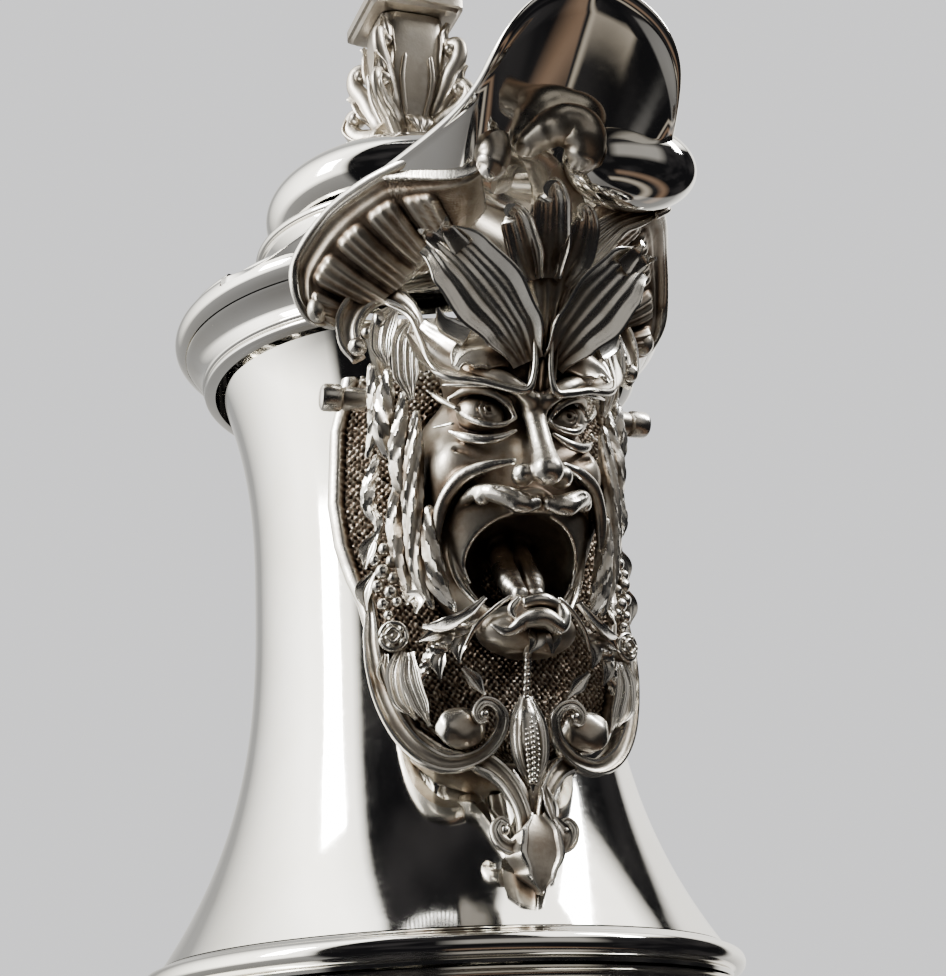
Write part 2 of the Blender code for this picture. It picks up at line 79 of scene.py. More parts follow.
# Control points of the lip's edge from where it leaves the rim to the tip, as (x, y, z).
LIP_EDGE = ((45.8, -19.2, 258.6), (25.9, -44.8, 261.7), (31.2, -71.3, 273.6), (6.6, -90.1, 250.8),
            (29.4, -LIP_REACH, 275.4), (0.0, -LIP_REACH, 283.0))


# ---- meshes -----------------------------------------------------------------------------------------------
def make_mesh(name, points, faces, mat, body, nodes=(), sharp=None):
    """Makes a smooth mesh object from points in mm and hands it to a body of the frame."""
    mesh = bpy.data.meshes.new(name)
    mesh.from_pydata([tuple(p) for p in np.asarray(points) * MM], [], [tuple(f) for f in faces])
    return adopt(name, mesh, mat, body, nodes, sharp)


def adopt(name, mesh, mat, body, nodes=(), sharp=None):
    mesh.materials.append(mat)
    mesh.shade_smooth()
    if sharp is not None:
        mesh.set_sharp_from_angle(angle=math.radians(sharp))
    item = bpy.data.objects.new(name, mesh)
    bpy.context.collection.objects.link(item)
    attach(item, body)
    if nodes:
        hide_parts(*nodes)
    return item


def bezier(p0, p1, p2, p3, t):
    s = 1.0 - t
    weights = (s * s * s, 3 * s * s * t, 3 * s * t * t, t * t * t)
    return tuple(sum(w * p[i] for w, p in zip(weights, (p0, p1, p2, p3))) for i in range(len(p0)))


def bezier_points(p0, p1, p2, p3, count):
    return [bezier(p0, p1, p2, p3, i / count) for i in range(count + 1)]


def arc(centre, radius, start_deg, end_deg, count, squash=1.0):
    points = []
    for i in range(count + 1):
        angle = math.radians(start_deg + (end_deg - start_deg) * i / count)
        points.append((centre[0] + radius * math.cos(angle), centre[1] + radius * squash * math.sin(angle)))
    return points


def turned(name, outline, mat, body, nodes, steps=256, start=0.0, sweep=360.0):
    """A surface of revolution from a closed (radius, z) outline; a part turn gets flat ends."""
    full = sweep >= 360.0
    rings = steps if full else steps + 1
    angles = np.radians(start + sweep * np.arange(rings) / steps)
    outline = np.array(outline)
    points = np.stack([np.outer(np.cos(angles), outline[:, 0]), np.outer(np.sin(angles), outline[:, 0]),
                       np.tile(outline[:, 1], (rings, 1))], axis=2).reshape(-1, 3)
    count = len(outline)
    faces = []
    for i in range(steps):
        near = i * count
        far = ((i + 1) % rings) * count
        for j in range(count):
            k = (j + 1) % count
            faces.append((near + j, far + j, far + k, near + k))
    if not full:
        faces.append(tuple(range(count)))
        faces.append(tuple(range((rings - 1) * count, rings * count))[::-1])
    item = make_mesh(name, points, faces, mat, body, nodes)
    tidy(item.data)
    item.data.set_sharp_from_angle(angle=math.radians(SHARP_DEG))
    return item


def tidy(mesh):
    bm = bmesh.new()
    bm.from_mesh(mesh)
    bmesh.ops.remove_doubles(bm, verts=bm.verts, dist=2e-6)
    bmesh.ops.dissolve_degenerate(bm, edges=bm.edges, dist=1e-7)
    bmesh.ops.recalc_face_normals(bm, faces=bm.faces)
    bm.to_mesh(mesh)
    bm.free()
    mesh.shade_smooth()


# ---- materials --------------------------------------------------------------------------------------------
class Nodes:
    """A short way to build a node tree."""

    def __init__(self, tree):
        self.tree = tree

    def add(self, kind, inputs=None, **settings):
        node = self.tree.nodes.new(kind)
        for key, value in settings.items():
            setattr(node, key, value)
        for key, value in (inputs or {}).items():
            if isinstance(value, bpy.types.NodeSocket):
                self.tree.links.new(value, node.inputs[key])
            else:
                node.inputs[key].default_value = value
        return node

    def math(self, operation, *values):
        node = self.add("ShaderNodeMath", {i: v for i, v in enumerate(values)}, operation=operation)
        return node.outputs[0]

    def ramp(self, value, low, high, to_low=0.0, to_high=1.0):
        node = self.add("ShaderNodeMapRange", {0: value, 1: low, 2: high, 3: to_low, 4: to_high})
        return node.outputs[0]

    def noise(self, scale, detail=3.0, rough=0.5, vector=None):
        inputs = {"Scale": scale, "Detail": detail, "Roughness": rough}
        if vector is not None:
            inputs["Vector"] = vector
        return self.add("ShaderNodeTexNoise", inputs).outputs["Fac"]

    def mix(self, factor, first, second):
        node = self.add("ShaderNodeMix", data_type="RGBA")
        for socket, value in ((0, factor), (6, first), (7, second)):
            if isinstance(value, bpy.types.NodeSocket):
                self.tree.links.new(value, node.inputs[socket])
            else:
                node.inputs[socket].default_value = value
        return node.outputs[2]

    def plus(self, base, factor, tint):
        """base with tint added, as much as factor says."""
        node = self.add("ShaderNodeMix", data_type="RGBA", blend_type="ADD")
        self.tree.links.new(factor, node.inputs[0])
        self.tree.links.new(base, node.inputs[6])
        node.inputs[7].default_value = (*tint, 1.0)
        return node.outputs[2]


def start_material(name):
    mat = bpy.data.materials.new(name)
    mat.use_nodes = True
    nodes = Nodes(mat.node_tree)
    shader = mat.node_tree.nodes["Principled BSDF"]
    shader.inputs["Metallic"].default_value = 1.0
    place = nodes.add("ShaderNodeTexCoord").outputs["Object"]
    return mat, nodes, shader, place


def link(nodes, value, socket):
    nodes.tree.links.new(value, socket)


def polished_silver():
    """Hand-raised, mirror-polished sheet: slow waviness, fine rub marks and a faint warm bloom of tarnish."""
    mat, nodes, shader, place = start_material("polished_silver_sheet")
    bloom = nodes.noise(28.0, 5.0, 0.6, place)
    tint = nodes.ramp(bloom, 0.42, 0.72)
    link(nodes, nodes.mix(tint, (0.955, 0.94, 0.905, 1), (0.86, 0.83, 0.76, 1)), shader.inputs["Base Color"])
    rub = nodes.noise(900.0, 2.0, 0.5, place)
    haze = nodes.noise(60.0, 4.0, 0.7, place)
    rough = nodes.math("ADD", nodes.ramp(haze, 0.35, 0.75, 0.035, 0.10), nodes.ramp(rub, 0.4, 0.8, 0.0, 0.03))
    link(nodes, rough, shader.inputs["Roughness"])
    stretch = nodes.add("ShaderNodeMapping", {"Vector": place, "Scale": (1.0, 1.0, 0.35)}).outputs[0]
    wave = nodes.noise(34.0, 1.0, 0.4, stretch)
    dents = nodes.noise(120.0, 2.0, 0.5, place)
    height = nodes.math("ADD", wave, nodes.math("MULTIPLY", dents, 0.08))
    height = nodes.math("ADD", height, nodes.math("MULTIPLY", rub, 0.0025))
    bump = nodes.add("ShaderNodeBump", {"Strength": 0.35, "Distance": 0.0006, "Height": height})
    link(nodes, bump.outputs[0], shader.inputs["Normal"])
    return mat


def cast_silver():
    """Cast and chased silver: bright rubbed ridges, satin flats, brown-black tarnish in the hollows."""
    mat, nodes, shader, place = start_material("cast_silver_chased")
    cavity = nodes.add("ShaderNodeAttribute", attribute_name="cavity").outputs["Fac"]
    blotch = nodes.noise(240.0, 4.0, 0.65, place)
    depth = nodes.math("ADD", cavity, nodes.math("MULTIPLY", nodes.math("SUBTRACT", blotch, 0.5), 0.22))
    rubbed = nodes.mix(nodes.ramp(depth, 0.30, 0.46), (0.88, 0.85, 0.79, 1), (0.50, 0.455, 0.39, 1))
    hollow = nodes.mix(nodes.ramp(depth, 0.47, 0.59), rubbed, (0.22, 0.165, 0.12, 1))
    link(nodes, nodes.mix(nodes.ramp(depth, 0.57, 0.74), hollow, (0.022, 0.016, 0.013, 1)),
         shader.inputs["Base Color"])
    link(nodes, nodes.ramp(depth, 0.32, 0.60, 0.22, 0.46), shader.inputs["Roughness"])
    grain = nodes.noise(1500.0, 2.0, 0.6, place)
    pits = nodes.noise(420.0, 3.0, 0.6, place)
    height = nodes.math("ADD", pits, nodes.math("MULTIPLY", grain, 0.35))
    bump = nodes.add("ShaderNodeBump", {"Strength": 0.30, "Distance": 0.00018, "Height": height})
    link(nodes, bump.outputs[0], shader.inputs["Normal"])
    return mat


def pin_silver():
    mat, nodes, shader, place = start_material("pin_silver_drawn")
    streak = nodes.add("ShaderNodeMapping", {"Vector": place, "Scale": (60.0, 900.0, 900.0)}).outputs[0]
    lines = nodes.noise(1.0, 3.0, 0.6, streak)
    link(nodes, nodes.mix(lines, (0.74, 0.72, 0.68, 1), (0.52, 0.49, 0.45, 1)), shader.inputs["Base Color"])
    link(nodes, nodes.ramp(lines, 0.2, 0.8, 0.16, 0.34), shader.inputs["Roughness"])
    return mat


def pale_floor():
    mat, nodes, shader, place = start_material("studio_floor")
    shader.inputs["Metallic"].default_value = 0.0
    cloud = nodes.noise(3.0, 4.0, 0.5, place)
    link(nodes, nodes.mix(cloud, (0.60, 0.60, 0.605, 1), (0.66, 0.66, 0.665, 1)), shader.inputs["Base Color"])
    shader.inputs["Roughness"].default_value = 0.75
    return mat


# ---- camera, room and lights ------------------------------------------------------------------------------
CAMERA_AZIMUTH = -19.2
CAMERA_DISTANCE = 379.3
CAMERA_HEIGHT = 93.0
CAMERA_YAW = -1.49
CAMERA_PITCH = 19.5
CAMERA_ROLL = -2.91
CAMERA_LENS = 73.8


def place_camera():
    azimuth = math.radians(CAMERA_AZIMUTH)
    data = bpy.data.cameras.new("camera")
    data.lens = CAMERA_LENS
    data.sensor_width = 36.0
    data.clip_start = 0.01
    camera = bpy.data.objects.new("camera", data)
    bpy.context.collection.objects.link(camera)
    ahead = Vector((-math.sin(azimuth), math.cos(azimuth), 0.0))
    ahead = Matrix.Rotation(math.radians(CAMERA_YAW), 3, "Z") @ ahead
    right = Vector((ahead.y, -ahead.x, 0.0))
    pitch = math.radians(CAMERA_PITCH)
    up = Vector((0, 0, 1)) * math.cos(pitch) - ahead * math.sin(pitch)
    forward = ahead * math.cos(pitch) + Vector((0, 0, 1)) * math.sin(pitch)
    roll = math.radians(CAMERA_ROLL)
    rolled_right = right * math.cos(roll) + up * math.sin(roll)
    rolled_up = up * math.cos(roll) - right * math.sin(roll)
    turn = Matrix((rolled_right, rolled_up, -forward)).transposed().to_4x4()
    spot = Vector((math.sin(azimuth) * CAMERA_DISTANCE, -math.cos(azimuth) * CAMERA_DISTANCE, CAMERA_HEIGHT))
    camera.matrix_world = Matrix.Translation(spot * MM) @ turn
    bpy.context.scene.camera = camera


def soft_window(nodes, azimuth, elevation, centre, half, soft):
    """1 inside a rectangle of directions, fading to 0 over soft degrees across and up."""
    gap = nodes.math("ABSOLUTE", nodes.math("SUBTRACT", azimuth, centre[0]))
    gap = nodes.math("MINIMUM", gap, nodes.math("SUBTRACT", 360.0, gap))
    across = nodes.ramp(gap, half[0], half[0] - soft[0])
    rise = nodes.math("ABSOLUTE", nodes.math("SUBTRACT", elevation, centre[1]))
    upright = nodes.ramp(rise, half[1], half[1] - soft[1])
    return nodes.math("MULTIPLY", across, upright)


# Each patch of the room: its centre and half size as (azimuth, elevation) in degrees, its soft edges, and
# its light.
WALL_PATCHES = (
    ((-98.0, 40.0), (66.0, 52.0), (58.0, 12.0), (4.2, 4.1, 3.8)),
    ((132.0, 22.0), (56.0, 46.0), (46.0, 30.0), (1.4, 1.35, 1.25)),
)
DARK_ROOM = ((23.0, -6.0), (95.0, 96.0), (7.0, 7.0))
DARK_ROOM_PATCHES = (
    ((68.0, 60.0), (45.0, 23.0), (7.0, 7.0), (3.4, 3.3, 3.05)),
    ((12.0, 15.0), (34.0, 22.0), (12.0, 12.0), (0.36, 0.345, 0.32)),
    ((60.0, -44.0), (80.0, 8.0), (7.0, 7.0), (0.20, 0.13, 0.085)),
    ((50.0, -62.0), (90.0, 7.0), (6.0, 6.0), (0.42, 0.37, 0.30)),
)
# The two rows of small lamps: their elevations, and the azimuth of their middle, in degrees.
LAMP_ROWS = (73.5, 76.5)
LAMP_MIDDLE = -20.0
LAMP_HALF = (40.0, 0.8)
LAMP_SOFT = (0.5, 0.5)
LAMP_WAVE = 1.7
LAMP_LIGHT = (7.0, 6.9, 6.6)


def build_room():
    """A pale backdrop for the camera's own view, and the room that the silver mirrors: a bright window at
    the left, a high one at the right, a dark room in front and two rows of small ceiling lamps."""
    world = bpy.data.worlds.new("studio")
    bpy.context.scene.world = world
    world.use_nodes = True
    nodes = Nodes(world.node_tree)
    way = nodes.add("ShaderNodeTexCoord").outputs["Generated"]
    parts = nodes.add("ShaderNodeSeparateXYZ", {0: way})
    front = nodes.math("MULTIPLY", parts.outputs["Y"], -1.0)
    azimuth = nodes.math("DEGREES", nodes.math("ARCTAN2", parts.outputs["X"], front))
    elevation = nodes.math("DEGREES", nodes.math("ARCSINE", parts.outputs["Z"]))
    walls = nodes.mix(nodes.ramp(elevation, -70.0, 60.0), (0.16, 0.155, 0.15, 1), (0.62, 0.62, 0.61, 1))
    shade = soft_window(nodes, azimuth, elevation, *DARK_ROOM)
    clouds = nodes.noise(2.2, 2.0, 0.5, way)
    gloom = nodes.mix(nodes.ramp(clouds, 0.45, 0.7), (0.008, 0.008, 0.009, 1), (0.035, 0.033, 0.034, 1))
    for centre, half, soft, tint in WALL_PATCHES:
        walls = nodes.plus(walls, soft_window(nodes, azimuth, elevation, centre, half, soft), tint)
    light = nodes.mix(shade, walls, gloom)
    for centre, half, soft, tint in DARK_ROOM_PATCHES:
        glow = soft_window(nodes, azimuth, elevation, centre, half, soft)
        light = nodes.plus(light, glow, tint)
    dots = nodes.ramp(nodes.math("SINE", nodes.math("MULTIPLY", azimuth, LAMP_WAVE)), 0.0, 0.8)
    for height in LAMP_ROWS:
        row = soft_window(nodes, azimuth, elevation, (LAMP_MIDDLE, height), LAMP_HALF, LAMP_SOFT)
        light = nodes.plus(light, nodes.math("MULTIPLY", row, dots), LAMP_LIGHT)
    room = nodes.add("ShaderNodeBackground", {"Color": light, "Strength": 1.0})
    backdrop = nodes.add("ShaderNodeBackground", {"Color": (1.0, 1.0, 1.02, 1), "Strength": 1.08})
    direct = nodes.add("ShaderNodeLightPath").outputs["Is Camera Ray"]
    both = nodes.add("ShaderNodeMixShader", {0: direct, 1: room.outputs[0], 2: backdrop.outputs[0]})
    link(nodes, both.outputs[0], world.node_tree.nodes["World Output"].inputs["Surface"])


def soft_light(name, spot, target, size, power):
    data = bpy.data.lights.new(name, "AREA")
    data.shape = "RECTANGLE"
    data.size, data.size_y = size
    data.energy = power
    lamp = bpy.data.objects.new(name, data)
    bpy.context.collection.objects.link(lamp)
    lamp.location = spot
    lamp.rotation_euler = (Vector(target) - Vector(spot)).to_track_quat("-Z", "Y").to_euler()
    return lamp


# In metres: the floor's radius, and how far it lies under the foot.
FLOOR_RADIUS = 12.0
FLOOR_DROP = 0.0002


def build_studio():
    build_room()
    aim = (0.0, 0.0, 0.20)
    soft_light("strip_left", (-0.85, -0.08, 0.70), aim, (0.20, 0.5), 12.0)
    soft_light("strip_right", (0.62, -0.28, 0.85), aim, (0.16, 0.4), 8.0)
    bm = bmesh.new()
    bmesh.ops.create_circle(bm, cap_ends=True, segments=128, radius=FLOOR_RADIUS)
    mesh = bpy.data.meshes.new("floor")
    bm.to_mesh(mesh)
    bm.free()
    mesh.materials.append(pale_floor())
    floor = bpy.data.objects.new("floor", mesh)
    bpy.context.collection.objects.link(floor)
    floor.location.z = -FLOOR_DROP
    floor.visible_glossy = False


# ---- the body ---------------------------------------------------------------------------------------------
def neck_radius(z):
    z = np.asarray(z, dtype=float)
    low = FLARE_LOW * (np.clip(NECK_WAIST - z, 0, None) / FLARE_LOW_SPAN) ** FLARE_LOW_POWER
    high = FLARE_HIGH * (np.clip(z - NECK_WAIST, 0, None) / FLARE_HIGH_SPAN) ** FLARE_HIGH_POWER
    return WAIST_RADIUS + low + high


def build_neck(mat):
    levels = np.linspace(NECK_LOW, NECK_HIGH, 70)
    outer = [(float(neck_radius(z)), z) for z in levels]
    inner = [(r - SHEET, z) for r, z in outer]
    turned("neck_wall", outer[::-1] + inner, mat, "pitcher", ["neck"])


def build_shoulder(mat):
    low, high = (corner.z for corner in box_mm("shoulder_band"))
    middle = (low + high) / 2
    bead = arc((53.3, middle), 2.2, 75, -75, 12)
    top = [(50.2, high), (52.4, high), (52.9, high - 0.5)]
    bottom = [(53.2, low + 0.6), (53.0, low), (50.2, low)]
    turned("shoulder_bead", top + bead + bottom, mat, "pitcher", ["shoulder_band"])


def build_bowl(mat):
    low, high = box_mm("bowl")
    widest = high.x
    upper = bezier_points((53.0, high.z), (64.0, high.z - 5), (widest, 108.0), (widest, 88.0), 30)
    lower = bezier_points((widest, 88.0), (widest, 58.0), (46.0, 42.0), (20.0, low.z), 40)
    outer = upper + lower[1:]
    inner = [(r - SHEET, z) for r, z in outer[:-12]]
    outline = [(0.0, 42.0), (18.0, 44.0)] + inner[::-1] + outer + [(0.0, low.z)]
    turned("bowl_wall", outline, mat, "pitcher", ["bowl"])


def build_foot(mat):
    rim_high = box_mm("foot_rim")[1]
    step = [(42.0, rim_high.z), (45.8, rim_high.z), (46.6, rim_high.z - 0.7)]
    ovolo = arc((47.6, 2.9), 2.75, 78, -62, 16)
    turned("foot_moulding", step + ovolo + [(48.3, 0.0), (42.0, 0.0)], mat, "pitcher", ["foot_rim"])
    low, high = (corner.z for corner in box_mm("pedestal"))
    outer = bezier_points((46.5, low), (44.0, 15.0), (20.0, 12.0), (16.0, high), 36)
    inner = bezier_points((44.5, low), (41.0, 13.5), (18.0, 10.0), (12.0, high - 3.0), 30)
    turned("pedestal_wall", [(0.0, high - 3.0)] + inner[::-1] + outer + [(0.0, high)], mat, "pitcher",
           ["pedestal"])
    base, top = (corner.z for corner in box_mm("stem_knop"))
    knop = arc((17.0, (base + top) / 2), 3.0, 72, -72, 16)
    turned("stem_ring", [(0.0, top), (16.8, top)] + knop + [(16.8, base), (0.0, base)], mat, "pitcher",
           ["stem_knop"])


def build_rim(mat):
    """From the neck up: two small fillets, a broad hollow, a quirk, the round moulding and a thin top bead.
    Under the lip's sides only the part below the lip goes on, as far as the collars."""
    low = RIM_LOW
    foot = [(41.5, low), (42.2, low)]
    foot += arc((43.0, low + 0.9), 0.75, -90, 80, 8)
    foot += arc((43.5, low + 2.3), 0.65, -80, 75, 8)
    foot += bezier_points((43.6, low + 3.0), (43.4, low + 5.2), (45.0, low + 7.0), (47.0, low + 7.6), 10)
    foot += [(47.3, low + 8.0), (46.9, low + 8.5)]
    whole = foot + arc((46.6, low + 11.0), 2.95, -72, 58, 16)
    whole += arc((47.1, RIM_HIGH - 0.75), 0.75, -40, 90, 8)
    whole += [(41.5, RIM_HIGH)]
    turned("rim_mouldings", whole, mat, "pitcher", ["rim_moulding"], steps=220, start=-90.0 + LIP_CUT_DEG,
           sweep=360.0 - 2 * LIP_CUT_DEG)
    lower = foot + arc((46.6, low + 11.0), 2.95, -72, 6, 12) + [(44.0, low + 11.2), (41.5, low + 4.0)]
    sweep = LIP_CUT_DEG - COLLAR_DEG
    for word, start in (("left", -90.0 - LIP_CUT_DEG), ("right", -90.0 + COLLAR_DEG)):
        turned("rim_under_lip_" + word, lower, mat, "pitcher", ["rim_moulding"], steps=60, start=start,
               sweep=sweep)


# ---- the spout lip ----------------------------------------------------------------------------------------
def curve_at(controls, t):
    """A point on the Bezier curve of any number of control points."""
    points = [Vector(point) for point in controls]
    while len(points) > 1:
        points = [a.lerp(b, t) for a, b in zip(points, points[1:])]
    return points[0]


def lip_root(azimuth):
    """Where the lip leaves the body, in a direction given in radians from the front: the neck's top, and
    at the sides the middle of the rim's round moulding."""
    blend = min(1.0, max(0.0, (math.degrees(azimuth) - 38.0) / 10.0))
    blend = blend * blend * (3 - 2 * blend)
    radius = LIP_ROOT_RADIUS + 1.8 * blend
    return Vector((math.sin(azimuth) * radius, -math.cos(azimuth) * radius, LIP_ROOT_Z + 8.3 * blend))


def lip_surface(side, v):
    """The lip's underside; side runs from -1 through 0 at the tip to 1, v from the root to the edge."""
    edge = curve_at(LIP_EDGE, 1.0 - abs(side))
    root = lip_root(math.atan2(edge.x, -edge.y))
    point = root.lerp(edge, v)
    point.z = root.z + (edge.z - root.z) * v ** 1.45
    if side < 0:
        point.x = -point.x
    return point


def lip_normal(side, v):
    """Unit normal of the underside, pointing down and out."""
    step = 0.01
    along = lip_surface(min(1.0, side + step), v) - lip_surface(max(-1.0, side - step), v)
    outward = lip_surface(side, min(1.0, v + step)) - lip_surface(side, max(0.0, v - step))
    normal = along.cross(outward).normalized()
    if normal.z > 0:
        normal.negate()
    return normal


def build_lip(mat):
    columns = 200
    section = [(v, 0.0) for v in np.linspace(0.0, 0.955, 26)]
    edge_bead = [(0.965 + 0.035 * math.sin(math.radians(a)), 0.75 - 0.95 * math.cos(math.radians(a)))
                 for a in range(0, 181, 20)]
    back = [(v, 1.3) for v in np.linspace(0.945, 0.0, 20)]
    section = section + edge_bead + back
    points = []
    for i in range(columns + 1):
        side = -1.0 + 2.0 * i / columns
        for v, lift in section:
            base = lip_surface(side, v)
            points.append(base - lip_normal(side, v) * lift)
    count = len(section)
    faces = []
    for i in range(columns):
        for j in range(count):
            k = (j + 1) % count
            faces.append((i * count + j, (i + 1) * count + j, (i + 1) * count + k, i * count + k))
    faces.append(tuple(range(count)))
    faces.append(tuple(range(columns * count, (columns + 1) * count))[::-1])
    item = make_mesh("lip_wall", points, faces, mat, "pitcher", ["spout_lip"])
    tidy(item.data)


# ---- the lid ----------------------------------------------------------------------------------------------
LID_FRONT_Y = -28.0
LID_TRIM_RISE = 3.6
DOME_Z = 287.0
DOME_RADIUS = 30.8


def build_lid(mat):
    low, high = box_mm("lid_skirt")
    base = low.z
    outer = [(high.x - 0.5, base), (high.x, base + 0.4), (high.x, base + 1.3), (high.x - 0.5, base + 1.8)]
    outer += [(40.6, base + 2.2)]
    outer += arc((39.6, base + 3.0), 0.9, -60, 70, 6)
    outer += bezier_points((38.4, base + 4.0), (34.5, base + 5.6), (32.6, base + 11.0), (32.2, high.z - 2.4),
                           16)
    outer += arc((32.1, high.z - 1.1), 0.95, -80, 80, 10)
    inner = bezier_points((36.5, base), (33.0, base + 4.0), (31.2, base + 10.0), (31.0, high.z), 12)
    skirt = turned("lid_skirt_wall", outer + inner[::-1], mat, "lid", ["lid_skirt"])
    trim_front(skirt, LID_FRONT_Y * MM, (base + LID_TRIM_RISE) * MM)
    base = box_mm("lid_dome")[0].z
    top = box_mm("lid_dome")[1].z
    dome = arc((0.0, DOME_Z), DOME_RADIUS, 86, -38, 44, squash=(top - DOME_Z) / DOME_RADIUS)
    crown = [(0.0, top), (1.2, top)]
    hollow = [(r - SHEET, z - 1.0) for r, z in dome[2:-2]][::-1]
    outline = crown + dome[1:] + [(28.4, base), (26.4, base)] + hollow + [(0.0, hollow[-1][1])]
    turned("lid_dome_wall", outline, mat, "lid", ["lid_dome"])


def trim_front(item, front_y, top_z):
    """Cuts the lid's flange straight across at the front, so that the spout stays open."""
    bm = bmesh.new()
    bmesh.ops.create_cube(bm, size=1.0)
    width, depth, height = 0.12, 0.04, 0.02
    bmesh.ops.scale(bm, vec=(width, depth, height), verts=bm.verts)
    bmesh.ops.translate(bm, vec=(0.0, front_y - depth / 2, top_z - height / 2), verts=bm.verts)
    mesh = bpy.data.meshes.new("lid_front_cutter")
    bm.to_mesh(mesh)
    bm.free()
    cutter = bpy.data.objects.new("lid_front_cutter", mesh)
    bpy.context.collection.objects.link(cutter)
    step = item.modifiers.new("front", "BOOLEAN")
    step.operation = "DIFFERENCE"
    step.solver = "EXACT"
    step.object = cutter
    graph = bpy.context.evaluated_depsgraph_get()
    cut = bpy.data.meshes.new_from_object(item.evaluated_get(graph))
    item.modifiers.clear()
    item.data = cut
    item.data.set_sharp_from_angle(angle=math.radians(SHARP_DEG))
    bpy.data.objects.remove(cutter, do_unlink=True)


# ---- paths and swept shapes for the cast mount ------------------------------------------------------------
def smooth_path(points, count):
    """A Catmull-Rom curve through the points, evenly stepped along its length."""
    points = np.array(points, dtype=float)
    padded = np.vstack([2 * points[0] - points[1], points, 2 * points[-1] - points[-2]])
    fine = []
    steps = 24
    for i in range(len(points) - 1):
        a, b, c, d = padded[i:i + 4]
        t = np.linspace(0, 1, steps, endpoint=False)[:, None]
        fine.append(0.5 * (2 * b + (c - a) * t + (2 * a - 5 * b + 4 * c - d) * t ** 2
                           + (3 * b - a - 3 * c + d) * t ** 3))
    fine.append(points[-1:])
    fine = np.vstack(fine)
    length = np.concatenate([[0], np.cumsum(np.linalg.norm(np.diff(fine[:, :3], axis=0), axis=1))])
    even = np.linspace(0, length[-1], count)
    return np.stack([np.interp(even, length, fine[:, k]) for k in range(fine.shape[1])], axis=1)


def spread(values, count):
    """Values spaced evenly along a path, smoothly filled in to count."""
    values = np.atleast_1d(np.array(values, dtype=float))
    if len(values) == 1:
        return np.full(count, values[0])
    t = np.linspace(0, len(values) - 1, count)
    i = np.minimum(t.astype(int), len(values) - 2)
    f = t - i
    f = f * f * (3 - 2 * f)
    return values[i] * (1 - f) + values[i + 1] * f


def unit(v):
    return v / np.maximum(np.linalg.norm(v, axis=-1, keepdims=True), 1e-9)


def frames(path, facing):
    """Tangent, side and facing vectors along a path; facing is one vector or one for each of a few places."""
    facing = np.atleast_2d(np.array(facing, dtype=float))
    toward = np.stack([spread(facing[:, k], len(path)) for k in range(3)], axis=1)
    tangent = unit(np.gradient(path, axis=0))
    side = unit(np.cross(tangent, toward))
    normal = unit(np.cross(side, tangent))
    return tangent, side, normal


# Every cast piece made so far, for the tarnish in their hollows.
ORNAMENT = []


